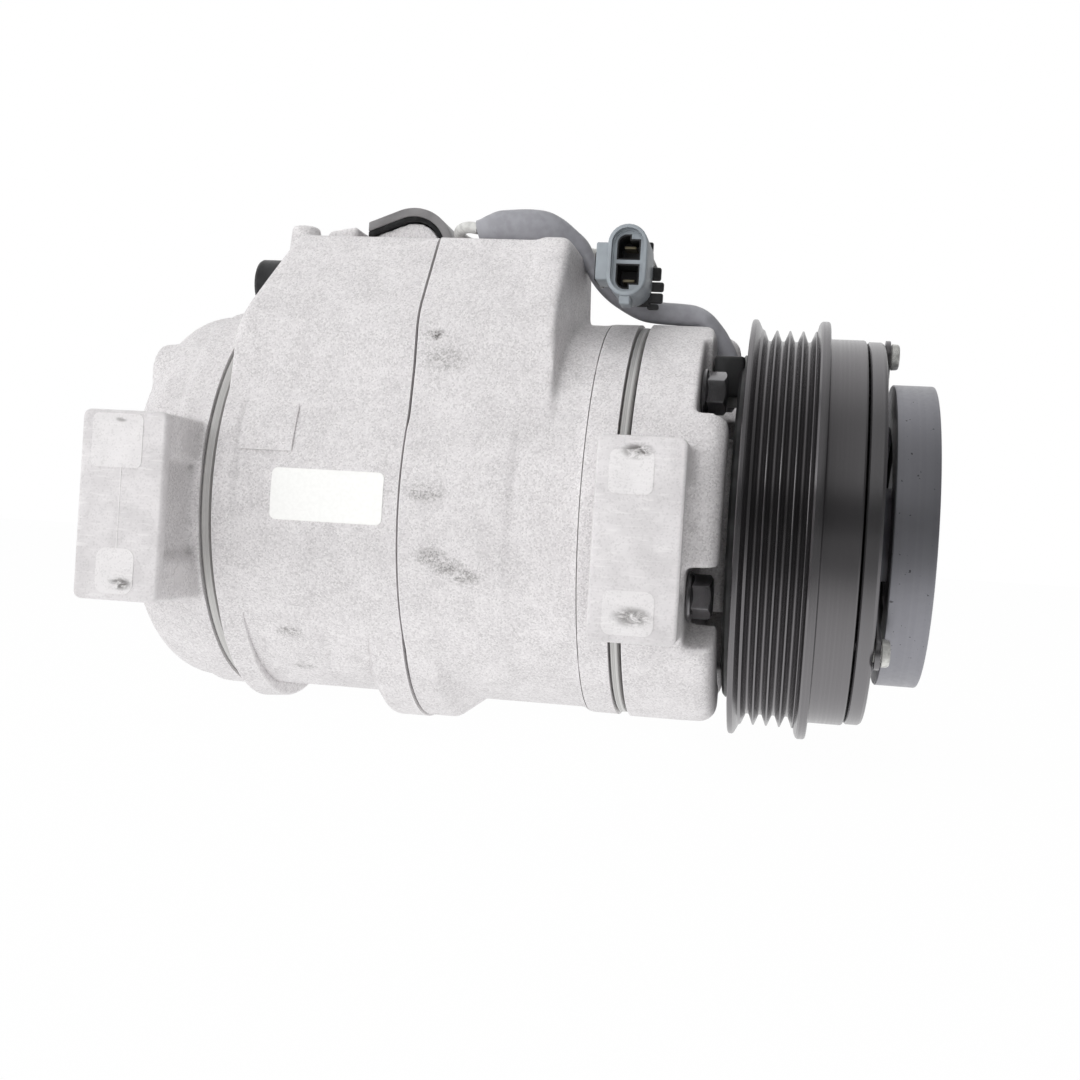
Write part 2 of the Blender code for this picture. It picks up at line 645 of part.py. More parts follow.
def clip_groove(groove, radius):
    """Corners of a circlip groove in a shaft or nose of the given radius."""
    x0, x1, floor = groove
    return [(x0, radius), (x0, floor), (x1, floor), (x1, radius)]


def front_housing():
    """Front head with its lug, bolt seats, seal bore and the nose that carries the clutch."""
    face = FRONT_SEAM[1] + HALF_GAP
    corner = arc((HOUSING_FRONT - HOUSING_ROUND, HOUSING_RADIUS - HOUSING_ROUND), HOUSING_ROUND, 90, 0, 3)
    nose = [(HOUSING_FRONT, NOSE_ROOT_RADIUS), *clip_groove(COIL_CLIP_GROOVE, NOSE_ROOT_RADIUS),
            (NOSE_SHOULDER, NOSE_ROOT_RADIUS), (NOSE_SHOULDER, NOSE_RADIUS),
            *clip_groove(BEARING_CLIP_GROOVE, NOSE_RADIUS), (NOSE_END, NOSE_RADIUS)]
    bore = [(NOSE_END, SHAFT_BORE_RADIUS), (SEAL_BORE_END, SHAFT_BORE_RADIUS),
            (SEAL_BORE_END, SEAL_BORE_RADIUS), (HOUSING_FLOOR, SEAL_BORE_RADIUS),
            (HOUSING_FLOOR, CHAMBER_RADIUS)]
    outer = [(face, CHAMBER_RADIUS), (face, HOUSING_RADIUS), *corner]
    body = turned("front_housing", [*outer, *nose, *bore], CAST)
    lug_body, lug_cuts = lug("front_lug", FRONT_LUG_X)
    cut(lug_body, rod("front_lug_clearance", (FRONT_LUG_X[0] - PAST, 0, 0), (face, 0, 0), LUG_CLEAR_RADIUS,
                      segments=SEGMENTS))
    join(body, lug_body)
    seat_x = (BOLT_SEAT, HOUSING_FRONT + 2 * PAST)
    seats = ring_of_rods("bolt_seat", bolt_angles(), BOLT_SEAT_CIRCLE, seat_x, BOLT_SEAT_RADII,
                         ROUND_SEGMENTS)
    return cut(body, *lug_cuts, *seats, block("lead_notch", *LEAD_NOTCH),
               *bolt_holes("front_housing", face - PAST, BOLT_SEAT + PAST))


def hex_bolt(name, tip, seat, axis, flange_radius, head_end):
    """Hex flange bolt along X, from its tip to its seat; axis gives a point on its line at any x."""
    shank = rod(name, axis(tip), axis(seat + BOLT_SUNK), BOLT_RADIUS, BLACK_STEEL, segments=SMALL_SEGMENTS)
    flange = rod(f"{name}_flange", axis(seat), axis(seat + BOLT_FLANGE_HEIGHT), flange_radius,
                 segments=ROUND_SEGMENTS)
    corner_radius = BOLT_HEAD_ACROSS / math.sqrt(3)
    head = rod(f"{name}_head", axis(seat + BOLT_SUNK), axis(seat + head_end), corner_radius, segments=6)
    return join(shank, flange, head)


def through_bolts():
    for i, a in enumerate(bolt_angles()):
        hex_bolt(f"through_bolt_{i + 1}", BOLT_END, BOLT_SEAT + GAP, lambda x, a=a: around(a, BOLT_CIRCLE, x),
                 BOLT_FLANGE_RADIUS, BOLT_FLANGE_HEIGHT + BOLT_HEAD_HEIGHT)


def drive_shaft():
    thread = BOLT_RADIUS + GAP
    profile = [(SHAFT_REAR, 0), (SHAFT_REAR, SHAFT_RADIUS - SHAFT_EDGE),
               (SHAFT_REAR + SHAFT_EDGE, SHAFT_RADIUS), (SHAFT_STEP, SHAFT_RADIUS),
               (SHAFT_STEP, SHAFT_FRONT_RADIUS),
               (SHAFT_NOSE_STEP, SHAFT_FRONT_RADIUS), (SHAFT_NOSE_STEP, SHAFT_NOSE_RADIUS),
               (SHAFT_FRONT, SHAFT_NOSE_RADIUS), (SHAFT_FRONT, thread), (SHAFT_THREAD_END, thread),
               (SHAFT_THREAD_END, 0)]
    return turned("drive_shaft", profile, BEARING_STEEL, INNER_SEGMENTS, closed=False)


def swash_plate():
    """Tilted disc on a hub; its highest point stands above the first piston."""
    tilt = math.atan(HALF_STROKE / PISTON_CIRCLE)
    half = SWASH_THICKNESS / 2
    profile = [(-half, 0), (-half, SWASH_RADIUS), (half, SWASH_RADIUS), (half, 0)]
    body = turned("swash_plate", profile, BEARING_STEEL, SWASH_SEGMENTS, closed=False)
    lean_axis = Vector((1, 0, 0)).cross(around(piston_angles()[0], 1.0))
    place = Matrix.Translation((TRAIN_CENTRE * MM, 0, 0))
    body.matrix_world = place @ Matrix.Rotation(-tilt, 4, lean_axis)
    hub_ends = [(TRAIN_CENTRE - SWASH_HUB_HALF, 0, 0), (TRAIN_CENTRE + SWASH_HUB_HALF, 0, 0)]
    hub = rod("swash_hub", *hub_ends, SWASH_HUB_RADIUS, segments=INNER_SEGMENTS)
    bore_ends = [(TRAIN_CENTRE - SWASH_RADIUS, 0, 0), (TRAIN_CENTRE + SWASH_RADIUS, 0, 0)]
    bore = rod("swash_bore", *bore_ends, SHAFT_RADIUS + GAP, segments=INNER_SEGMENTS)
    return cut(join(body, hub), bore)


def piston_rest(index):
    """Where the swash plate holds a piston at rest, from the middle of its stroke."""
    return HALF_STROKE * math.cos(2 * math.pi * index / PISTON_COUNT)


def pistons():
    """Double-headed pistons, each open at the middle for the swash plate and its two shoes."""
    for i, a in enumerate(piston_angles()):
        name = f"piston_{i + 1}"
        middle = TRAIN_CENTRE + piston_rest(i)
        ends = [around(a, PISTON_CIRCLE, middle + side * PISTON_HALF_LENGTH) for side in (-1, 1)]
        body = rod(name, *ends, PISTON_RADIUS, PISTON_METAL, segments=PISTON_SEGMENTS)
        inner = PISTON_CIRCLE - PISTON_RADIUS - PAST
        low = (middle - PISTON_SLOT_HALF, -PISTON_WEB_INNER, -PISTON_SLOT_REACH)
        high = (middle + PISTON_SLOT_HALF, -inner, PISTON_SLOT_REACH)
        slot = block(f"{name}_slot", low, high)
        slot.rotation_euler = (-a, 0, 0)
        pockets = []
        for side, sign in (("rear", -1), ("front", 1)):
            wall = middle + sign * PISTON_SLOT_HALF
            shoe = turned(f"shoe_{i + 1}_{side}", shoe_profile(wall, sign), BEARING_STEEL, SMALL_SEGMENTS,
                          closed=False)
            shoe.location = around(a, PISTON_CIRCLE) * MM
            pocket = turned(f"{name}_pocket_{side}", shoe_profile(wall, sign, GAP), segments=SMALL_SEGMENTS,
                            closed=False)
            pocket.location = shoe.location
            pockets.append(pocket)
        cut(body, slot, *pockets)


def shoe_profile(wall, sign, grow=0.0):
    """Domed slipper: flat towards the swash plate, round end in its pocket in the piston wall."""
    sunk = SHOE_HEIGHT - SHOE_PROUD
    top = wall + sign * (sunk + grow)
    side = wall - sign * (SHOE_PROUD - SHOE_RIM)
    flat = wall - sign * SHOE_PROUD
    radius = SHOE_RADIUS + grow
    return [(top, 0), (top, radius * SHOE_CROWN), (side, radius), (flat, radius), (flat, 0)]


def shaft_bearings():
    room = (TRAIN_CENTRE - SWASH_ROOM_HALF, TRAIN_CENTRE + SWASH_ROOM_HALF)
    needle = (SHAFT_RADIUS + GAP, BEARING_BORE_RADIUS - GAP)
    ring_part("rear_needle_bearing", REAR_NEEDLE_X, needle, BEARING_STEEL, INNER_SEGMENTS)
    ring_part("front_needle_bearing", FRONT_NEEDLE_X, needle, BEARING_STEEL, INNER_SEGMENTS)
    hub = (TRAIN_CENTRE - SWASH_HUB_HALF, TRAIN_CENTRE + SWASH_HUB_HALF)
    ring_part("rear_thrust_bearing", (room[0] + GAP, hub[0] - GAP), THRUST_RADII, BEARING_STEEL,
              INNER_SEGMENTS)
    ring_part("front_thrust_bearing", (hub[1] + GAP, room[1] - GAP), THRUST_RADII, BEARING_STEEL,
              INNER_SEGMENTS)
    lip = SHAFT_FRONT_RADIUS + GAP
    x0, x1, x2 = SEAL_X
    mouth, outer = SEAL_RADII
    profile = [(x0, lip), (x0, outer), (x2, outer), (x2, mouth), (x1, lip)]
    turned("shaft_seal", profile, BLACK_RUBBER, INNER_SEGMENTS)


def field_coil():
    """Coil shell on the front housing, open towards the pulley, with its winding and lead outlet."""
    back, bore = HOUSING_FRONT + GAP, NOSE_ROOT_RADIUS + GAP
    slot_inner, slot_outer = COIL_SLOT_RADII
    profile = [(back, bore), (back, COIL_RADIUS), (COIL_FRONT, COIL_RADIUS), (COIL_FRONT, slot_outer),
               (COIL_SLOT_FLOOR, slot_outer), (COIL_SLOT_FLOOR, slot_inner), (COIL_FRONT, slot_inner),
               (COIL_FRONT, COIL_INNER_RADIUS), (COIL_BACK, COIL_INNER_RADIUS), (COIL_BACK, bore)]
    join(turned("field_coil", profile, BLACK_STEEL), block("lead_outlet", *LEAD_OUTLET))
    ring_part("coil_winding", (COIL_SLOT_FLOOR + GAP, COIL_FRONT - COIL_WINDING_SUNK),
              (slot_inner + GAP, slot_outer - GAP), COPPER)
    ring_part("coil_circlip", COIL_CLIP_X, COIL_CLIP_RADII, BRIGHT_STEEL, CLIP_SEGMENTS)


def pulley():
    """Four-groove belt pulley, hollow at the back for the coil, with a plain drum in front."""
    grooves = []
    for i in range(GROOVE_COUNT):
        middle = GROOVE_FIRST + GROOVE_PITCH * i
        grooves += [(middle - GROOVE_FLAT_HALF, PULLEY_ROOT_RADIUS),
                    (middle + GROOVE_FLAT_HALF, PULLEY_ROOT_RADIUS),
                    (middle + GROOVE_PITCH / 2, PULLEY_CREST_RADIUS)]
    outer = [(PULLEY_REAR, PULLEY_RIM_INNER), (PULLEY_REAR, PULLEY_FLANGE_RADIUS),
             (FLANGE_REAR_END, PULLEY_FLANGE_RADIUS), *grooves,
             (FLANGE_FRONT[0], PULLEY_FLANGE_RADIUS), (FLANGE_FRONT[1], PULLEY_FLANGE_RADIUS),
             (FLANGE_FRONT[1], PULLEY_DRUM_RADIUS), (PULLEY_FRONT - PULLEY_EDGE, PULLEY_DRUM_RADIUS),
             (PULLEY_FRONT, PULLEY_DRUM_RADIUS - PULLEY_EDGE)]
    lip = BEARING_X[1] + GAP
    inner = [(PULLEY_FRONT, PULLEY_LIP_RADIUS), (lip, PULLEY_LIP_RADIUS), (lip, PULLEY_BORE_RADIUS),
             (PULLEY_SLEEVE_REAR, PULLEY_BORE_RADIUS), (PULLEY_SLEEVE_REAR, PULLEY_SLEEVE_RADIUS),
             (PULLEY_WEB_REAR, PULLEY_SLEEVE_RADIUS), (PULLEY_WEB_REAR, PULLEY_RIM_INNER)]
    return turned("pulley", outer + inner, BLACK_STEEL, PULLEY_SEGMENTS)


def race(name, fit_radius, radii):
    """Bearing ring with a ball groove round its middle; radii are the groove's floor and its shoulders."""
    x0, x1 = BEARING_X
    floor, shoulder = radii
    g0, g1 = x0 + RACE_SHOULDER, x1 - RACE_SHOULDER
    profile = [(x0, fit_radius), (x0, shoulder), (g0, shoulder), (g0, floor), (g1, floor), (g1, shoulder),
               (x1, shoulder), (x1, fit_radius)]
    return turned(name, profile, BEARING_STEEL, RACE_SEGMENTS)


def pulley_bearing():
    race("bearing_inner_race", NOSE_RADIUS + RACE_FIT, INNER_RACE_RADII)
    race("bearing_outer_race", PULLEY_BORE_RADIUS - RACE_FIT, OUTER_RACE_RADII)
    middle = sum(BEARING_X) / 2
    beads = []
    for i in range(BALL_COUNT):
        for step, radius in ((-1, CAGE_RADIUS), (-0.45, BALL_RADIUS), (0.45, BALL_RADIUS)):
            beads.append((around(2 * math.pi * (i + step / 2) / BALL_COUNT, BALL_CIRCLE, middle), radius))
    bead_ring("bearing_balls", beads, BEARING_STEEL)
    ring_part("bearing_circlip", BEARING_CLIP_X, BEARING_CLIP_RADII, BRIGHT_STEEL, CLIP_SEGMENTS)


def bead_ring(name, beads, look):
    """Closed ring of balls held in a slim cage, as one tube of changing thickness."""
    curve = bpy.data.curves.new(name, "CURVE")
    curve.dimensions = "3D"
    curve.bevel_depth = MM
    curve.bevel_resolution = 1
    spline = curve.splines.new("POLY")
    spline.points.add(len(beads) - 1)
    for point, (place, radius) in zip(spline.points, beads):
        point.co = (*(place * MM), 1)
        point.radius = radius
    spline.use_cyclic_u = True
    curve.materials.append(material(look))
    obj = bpy.data.objects.new(name, curve)
    collection(PARTS).objects.link(obj)
    return obj


def leaf_angles():
    return [LEAF_FIRST_ANGLE + 2 * math.pi * i / LEAF_COUNT for i in range(LEAF_COUNT)]


def armature():
    """Friction plate that the coil pulls onto the pulley, with its leaf springs and rivets."""
    x0, x1 = ARMATURE_X
    profile = [(x0, ARMATURE_BORE_RADIUS), (x0, ARMATURE_RADIUS), (x1 - ARMATURE_EDGE, ARMATURE_RADIUS),
               (x1, ARMATURE_RADIUS - ARMATURE_EDGE), (x1, ARMATURE_BORE_RADIUS)]
    body = turned("armature_plate", profile, BLACK_STEEL)
    for i, a in enumerate(leaf_angles()):
        through = (around(a, RIVET_CIRCLE, x0 - PAST), around(a, RIVET_CIRCLE, RIVET_FRONT + PAST))
        hole = rod(f"rivet_hole_{i + 1}", *through, RIVET_SHANK_RADIUS + GAP, segments=SMALL_SEGMENTS)
        cut(body, hole)
        cut(leaf_spring(f"leaf_spring_{i + 1}", a), hole)
        rivet(f"rivet_{i + 1}", a)


def leaf_spring(name, angle):
    """Flat spring that narrows from its root at the hub to a round tip under its rivet."""
    half, neck = LEAF_HALF_WIDTH, LEAF_NECK_RADIUS
    right, left = LEAF_ROOT_SIDES
    tip = arc((0, RIVET_CIRCLE), half, 0, 180, 6)
    outline = [(right, LEAF_ROOT_RADIUS), (half, neck), *tip, (-half, neck), (left, LEAF_ROOT_RADIUS)]
    upright = along_x(*LEAF_X) @ Matrix.Rotation(math.pi / 2, 4, "Z")
    placing = Matrix.Rotation(-angle, 4, "X") @ upright
    return plate(name, outline, LEAF_X[1] - LEAF_X[0], placing, BRIGHT_STEEL)


def rivet(name, angle):
    rear, seat, shank = ARMATURE_X[0] + GAP, LEAF_X[1] + GAP, RIVET_SHANK_RADIUS
    profile = [(rear, 0), (rear, shank), (seat, shank), (seat, RIVET_FLANGE_RADIUS),
               (RIVET_FLANGE_END, RIVET_FLANGE_RADIUS), (RIVET_FLANGE_END, RIVET_HEAD_RADII[0]),
               (RIVET_FRONT, RIVET_HEAD_RADII[1]), (RIVET_FRONT, 0)]
    obj = turned(name, profile, BRIGHT_STEEL, RIVET_SEGMENTS, closed=False)
    obj.location = around(angle, RIVET_CIRCLE) * MM


def hub():
    """Hub on the shaft end: splined boss, rubber damper ring and the outer drum, with its bolt."""
    x0, x1 = HUB_DRUM_X
    floor = x0 + HUB_FLOOR_THICKNESS
    drum = [(x0, HUB_BORE_RADIUS), (x0, HUB_RIM_RADIUS), (x0 + HUB_RIM_WIDTH, HUB_RIM_RADIUS),
            (floor, HUB_DRUM_RADIUS), (x1 - HUB_EDGE, HUB_DRUM_RADIUS), (x1, HUB_DRUM_RADIUS - HUB_EDGE),
            (x1, HUB_INNER_RADIUS), (floor, HUB_INNER_RADIUS), (floor, HUB_BORE_RADIUS)]
    turned("hub_drum", drum, GREY_STEEL)
    rear, front = floor + GAP, x1 - DAMPER_SUNK
    bonded, rim = BOSS_RADIUS + GAP, HUB_INNER_RADIUS - GAP
    damper = [(rear, bonded), (rear, rim), (front - DAMPER_LIP, rim),
              (front - DAMPER_DISH[0], DAMPER_DISH[1]), (front, bonded)]
    turned("damper_rubber", damper, BLACK_RUBBER)
    bore, hole = SHAFT_NOSE_RADIUS + GAP, BOLT_RADIUS + GAP
    seat = SHAFT_FRONT + GAP
    step = seat + BOSS_FLOOR
    boss = [(BOSS_X[0], bore), (BOSS_X[0], BOSS_NECK_RADIUS), (rear, BOSS_NECK_RADIUS), (rear, BOSS_RADIUS),
            (BOSS_X[1], BOSS_RADIUS), (BOSS_X[1], BOSS_RECESS_RADIUS), (step, BOSS_RECESS_RADIUS),
            (step, hole), (seat, hole), (seat, bore)]
    turned("hub_boss", boss, GREY_STEEL, INNER_SEGMENTS)
    hex_bolt("hub_bolt", HUB_BOLT_REAR, step + GAP, lambda x: (x, 0, 0), HUB_BOLT_FLANGE_RADIUS,
             HUB_BOLT_HEAD_END)


def stadium(width, height, steps=6):
    """Upright oval outline about its centre."""
    radius = width / 2
    rise = height / 2 - radius
    return arc((0, rise), radius, 0, 180, steps) + arc((0, -rise), radius, 180, 360, steps)


def connector():
    """Two-way connector: oval shroud open towards -Y, with a rib between two blades, and its bracket."""
    y0, y1 = CONNECTOR_Y
    cx, cz = CONNECTOR_CENTRE
    wall = CONNECTOR_WALL

    def at(outline):
        return [(cx + u, cz + v) for u, v in outline]

    body = prism_y("connector_housing", at(stadium(CONNECTOR_WIDTH, CONNECTOR_HEIGHT)), y0, y1, GREY_NYLON)
    half, root = CONNECTOR_WIDTH / 2, cz - CONNECTOR_HEIGHT / 2 + 2 * CONNECTOR_LIP
    width, depth, height = LOCK_PLATE_SIZE
    left, rear = cx - half + CONNECTOR_LIP, y0 + CONNECTOR_LIP
    lock = block("lock_plate", (left - width, rear, cz - height / 2),
                 (left, rear + depth, cz + height / 2), bevel=CONNECTOR_EDGE)
    width, depth, height = LATCH_TAB_SIZE
    tab = block("latch_tab", (cx - width / 2, rear, root - height),
                (cx + width / 2, rear + depth, root), bevel=CONNECTOR_EDGE)
    join(body, lock, tab)
    inside = stadium(CONNECTOR_WIDTH - 2 * wall, CONNECTOR_HEIGHT - 2 * wall)
    mouth = prism_y("socket", at(inside), y0 - PAST, CONNECTOR_SOCKET_FLOOR)
    rib = CONNECTOR_RIB_HALF
    cut(mouth, block("socket_rib", (cx - half, CONNECTOR_RIB_FRONT, cz - rib), (cx + half, 0, cz + rib)))
    cut(body, mouth)
    wide, thick = BLADE_HALF
    for i, z in enumerate((cz + BLADE_RISE, cz - BLADE_RISE)):
        name = f"terminal_{i + 1}"
        low = Vector((cx - wide, BLADE_Y[0], z - thick))
        high = Vector((cx + wide, BLADE_Y[1], z + thick))
        grow = Vector((GAP, GAP, GAP))
        block(name, low, high, BRASS)
        cut(body, block(f"{name}_slot", low - grow, high + grow))


def connector_bracket():
    """Bracket that carries the connector from a foot on top of the front cylinder."""
    cx, cz = CONNECTOR_CENTRE
    rear = CONNECTOR_Y[1] + GAP
    low = MANIFOLD_TOP + GAP
    high = low + BRACKET_THICKNESS
    y0, y1 = BRACKET_FOOT_Y
    left, right = cx + BRACKET_CLIP_X[0], cx + BRACKET_CLIP_X[1]
    body = block("connector_bracket", (BRACKET_FOOT_X, y0, low), (left + BRACKET_THICKNESS, y1, high),
                 BLACK_PLASTIC)
    arm = block("bracket_arm", (left, rear, low), (right, y1, high))
    clip = block("bracket_clip", (left, rear, cz - BRACKET_CLIP_DROP),
                 (right, rear + BRACKET_CLIP_THICKNESS, high))
    return join(body, arm, clip)


def smooth_route(points, spacing):
    """Even points on a smooth curve through the route's own points."""
    knots = [Vector(p) for p in points]
    knots = [2 * knots[0] - knots[1], *knots, 2 * knots[-1] - knots[-2]]
    path = []
    for p0, p1, p2, p3 in zip(knots, knots[1:], knots[2:], knots[3:]):
        steps = max(1, round((p2 - p1).length / spacing))
        for i in range(steps):
            t = i / steps
            path.append(0.5 * (2 * p1 + (p2 - p0) * t + (2 * p0 - 5 * p1 + 4 * p2 - p3) * t ** 2
                               + (3 * p1 - p0 - 3 * p2 + p3) * t ** 3))
    path.append(knots[-2])
    return path


def tube(name, points, radius, look):
    """Flexible lead: a round tube with closed ends along a smooth route."""
    curve = bpy.data.curves.new(name, "CURVE")
    curve.dimensions = "3D"
    curve.bevel_depth = radius * MM
    curve.bevel_resolution = 2
    curve.use_fill_caps = True
    path = smooth_route(points, ROUTE_SPACING * radius)
    spline = curve.splines.new("POLY")
    spline.points.add(len(path) - 1)
    for point, co in zip(spline.points, path):
        point.co = (*(co * MM), 1)
    obj = bpy.data.objects.new(name, curve)
    collection(PARTS).objects.link(obj)
    curve.materials.append(material(look))
    return obj


def main():
    clear_scene()
    rear_housing()
    valve_plate("rear_valve_plate", REAR_SEAM)
    rear_cylinder()
    front_cylinder()
    valve_plate("front_valve_plate", FRONT_SEAM)
    front_housing()
    through_bolts()
    drive_shaft()
    swash_plate()
    pistons()
    shaft_bearings()
    field_coil()
    pulley()
    pulley_bearing()
    armature()
    hub()
    connector()
    connector_bracket()
    top_port_cap()
    rear_port_plug()
    tube("coil_lead_sleeve", SLEEVE_ROUTE, SLEEVE_RADIUS, GREY_VINYL)
    tube("connector_lead", LEAD_ROUTE, LEAD_RADIUS, BLACK_PLASTIC)


main()
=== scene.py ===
"""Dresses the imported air-conditioning compressor: castings, clutch, connector, leads and studio."""

import json
import math

import bmesh
import bpy
from bpy.props import FloatProperty, FloatVectorProperty, IntProperty, PointerProperty
from mathutils import Matrix, Vector


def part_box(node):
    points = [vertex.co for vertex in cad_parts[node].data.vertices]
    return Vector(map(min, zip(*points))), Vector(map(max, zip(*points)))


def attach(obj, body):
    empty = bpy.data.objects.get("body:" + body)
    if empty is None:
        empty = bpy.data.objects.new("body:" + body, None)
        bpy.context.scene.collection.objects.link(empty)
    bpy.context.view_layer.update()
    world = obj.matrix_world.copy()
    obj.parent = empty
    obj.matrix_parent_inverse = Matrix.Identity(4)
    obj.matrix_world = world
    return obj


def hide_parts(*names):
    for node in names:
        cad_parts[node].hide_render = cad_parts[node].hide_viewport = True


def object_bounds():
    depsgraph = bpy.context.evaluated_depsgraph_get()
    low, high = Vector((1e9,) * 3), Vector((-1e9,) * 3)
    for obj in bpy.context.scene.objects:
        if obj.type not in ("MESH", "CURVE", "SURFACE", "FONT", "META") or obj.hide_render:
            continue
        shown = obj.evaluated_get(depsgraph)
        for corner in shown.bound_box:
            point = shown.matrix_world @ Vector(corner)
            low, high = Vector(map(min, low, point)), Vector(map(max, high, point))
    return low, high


bl_info = {
    "name": "Compressor Dresser",
    "version": (1, 0, 0),
    "blender": (4, 5, 0),
    "location": "View3D > Sidebar > Compressor",
    "description": "Builds the visible pieces of a car's air-conditioning compressor on its packed frame",
    "category": "Object",
}

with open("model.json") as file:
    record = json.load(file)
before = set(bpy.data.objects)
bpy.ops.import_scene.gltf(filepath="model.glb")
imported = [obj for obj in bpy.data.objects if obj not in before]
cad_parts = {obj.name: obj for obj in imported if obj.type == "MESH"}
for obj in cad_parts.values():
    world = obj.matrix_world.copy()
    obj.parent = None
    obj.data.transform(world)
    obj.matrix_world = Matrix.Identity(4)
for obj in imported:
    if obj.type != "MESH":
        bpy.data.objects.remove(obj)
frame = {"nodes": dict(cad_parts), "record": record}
CAD_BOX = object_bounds()
MM = 0.001

# Stations along the shaft and radii, in millimetres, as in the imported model.
REAR_FACE = 25.25
CYLINDERS = (28.9, 78.35, 79.05, 133.3)
FRONT_FACE = 136.85
HOUSING_FRONT = 160.7
BOLT_CIRCLE = 46.0
BOLT_SEAT = 152.5
BOLT_ANGLES = [math.radians(47.6 + 72 * i) for i in range(5)]
PISTON_ANGLES = [a + math.pi / 5 for a in BOLT_ANGLES]
LUG_FACE = -75.5
LUG_ENDS = (-28.7, 18.7)
LUG_BORE_Y = -65.5
BLOCK_TOP = 73.7
PISTON_CIRCLE, PISTON_BORE = 34, 15.5
SWASH_ROOM = (66.6, 95.6)
RIVET_CIRCLE = 49
TOP_PORT = (64.6, 74.8)
REAR_PORT = Matrix.Translation((0, -6, 63))
CONNECTOR = (131.4, 67)
# Rubbed spots on the castings: place, width and strength.
SMUDGES = ((47.2, -40.7, -35.5, 3.6, 0.55), (48.0, -29.1, -45.5, 3.4, 0.55), (84.2, -47.5, 44.3, 3.2, 0.9),
           (86.5, -48.6, 38.2, 6.4, 0.45), (141.4, -75.6, 15.0, 3.4, 0.95), (142.4, -75.6, -23.6, 4.2, 0.8),
           (15.0, -75.6, -24.4, 2.8, 0.9), (12.8, -75.6, 16.4, 1.4, 0.6), (86.0, -53.9, 3.0, 4.6, 0.6),
           (88.0, -52.4, -12.9, 4.4, 0.6), (92.0, -51.8, -15.2, 4.4, 0.6), (96.6, -51.1, -17.5, 4.2, 0.6))
SLEEVE_ROUTE = ((158, 0, 44.6), (156.6, 0, 48.4), (154.8, 0, 51.8), (152.6, -0.6, 55), (150.4, -1.4, 57.4),
                (147.6, -2, 58.5), (143, -3, 58.8), (137.3, -4, 58.9), (132.3, -5, 59.5),
                (127.4, -6, 61.2), (123.2, -7, 64), (119.9, -8, 67.4), (117.4, -9, 71.6),
                (114.9, -10.4, 75.2), (111.4, -12.5, 77.7), (107.5, -15, 78.9), (102, -17.4, 79.3),
                (96, -19, 78.9), (91.4, -20, 78.1), (87.6, -20, 77.1))
LEAD_ROUTE = ((87.2, -20, 78), (84.5, -19.6, 78.4), (81.6, -17, 78.2), (80.4, -12.5, 77.4),
              (82, -8.4, 76.5), (86.5, -6.2, 75.9), (95, -5, 75.6), (105, -4, 75.6), (113, -1.5, 75.8),
              (120, 2, 76), (125.5, 2.6, 75), (129.3, -1, 73), (131, -7, 69.8), (131.2, -13, 67.8),
              (131.2, -19.6, 67.6))


def linear(code):
    """An sRGB hex colour as linear red, green and blue."""
    parts = [int(code[i:i + 2], 16) / 255 for i in (1, 3, 5)]
    return [c / 12.92 if c <= 0.04045 else ((c + 0.055) / 1.055) ** 2.4 for c in parts]


def per_mm(size):
    """Scale of a texture whose features are this many millimetres wide."""
    return 1 / (size * MM)


def colour(name, description, code):
    return FloatVectorProperty(name=name, description=description, subtype="COLOR", size=3, min=0, max=1,
                               default=linear(code))


def length(name, description, size):
    return FloatProperty(name=name, description=description, unit="LENGTH", subtype="DISTANCE",
                         default=size * MM)


class CastingSettings(bpy.types.PropertyGroup):
    """Sizes and colours of the aluminium castings."""
    grid: length("Cast radius", "Grid on which the castings' rounded corners are formed", 0.8)
    passes: IntProperty(name="Fettling", description="Smoothing passes over a casting", default=7, min=0,
                        max=40)
    pad: length("Pad height", "How far the ejector pads stand out of a lug's face", 0.15)
    label_width: length("Label width", "Length of the blank label along the shaft", 30.1)
    label_height: length("Label height", "Height of the blank label", 13.5)
    body: colour("Aluminium", "Main tone of the as-cast aluminium", "#E2DFE0")
    dull: colour("Dull aluminium", "Duller patches of the casting skin", "#D6D3D4")
    # The bright fleck also paints highlights along the castings' edges, and the stain also paints shade in
    # their creases.
    fleck_and_edge_highlight: colour("Bright fleck", "Bright grains in the casting skin", "#F5F3F3")
    stain_and_crease_shade: colour("Stain", "Die-release stains and scuffs", "#6E6B6A")
    paper: colour("Label paper", "Blank label", "#F6F6F4")
    plate: colour("Plate steel", "Ground rims of the valve plates", "#D4D3D1")


class ClutchSettings(bpy.types.PropertyGroup):
    """Sizes and colours of the clutch."""
    steps: IntProperty(name="Turning steps", description="Steps of the turned clutch pieces", default=144,
                       min=24, max=360)
    flange: length("Flange radius", "Radius of the pulley's two flanges", 58.0)
    crest: length("Rib radius", "Radius of the belt ribs", 55.2)
    root: length("Groove radius", "Radius at the bottom of the belt grooves", 52.3)
    pitch: length("Rib pitch", "Distance from rib to rib", 3.56)
    drum: length("Drum radius", "Radius of the pulley's plain drum", 53.3)
    hub: length("Hub radius", "Radius of the damped hub's drum", 41.5)
    black: colour("Black coat", "Electro-coated steel", "#7E7C7E")
    grey: colour("Grey coat", "Matte coat of the hub", "#929298")
    zinc: colour("Zinc", "Plated rivets and retaining rings", "#DCDCD8")


class LeadSettings(bpy.types.PropertyGroup):
    """Sizes and colours of the connector and its leads."""
    sleeve: length("Sleeve width", "Width of the vinyl sleeve", 7.2)
    lead: length("Lead width", "Diameter of the connector's lead", 3.2)
    nylon: colour("Nylon", "Connector shell", "#9AA1A7")
    vinyl: colour("Vinyl", "Sleeve of the coil lead", "#A2A2A8")
    plastic: colour("Black plastic", "Plug and clip", "#232324")
    insulation: colour("Insulation", "Bare lead of the connector", "#D8D8D5")


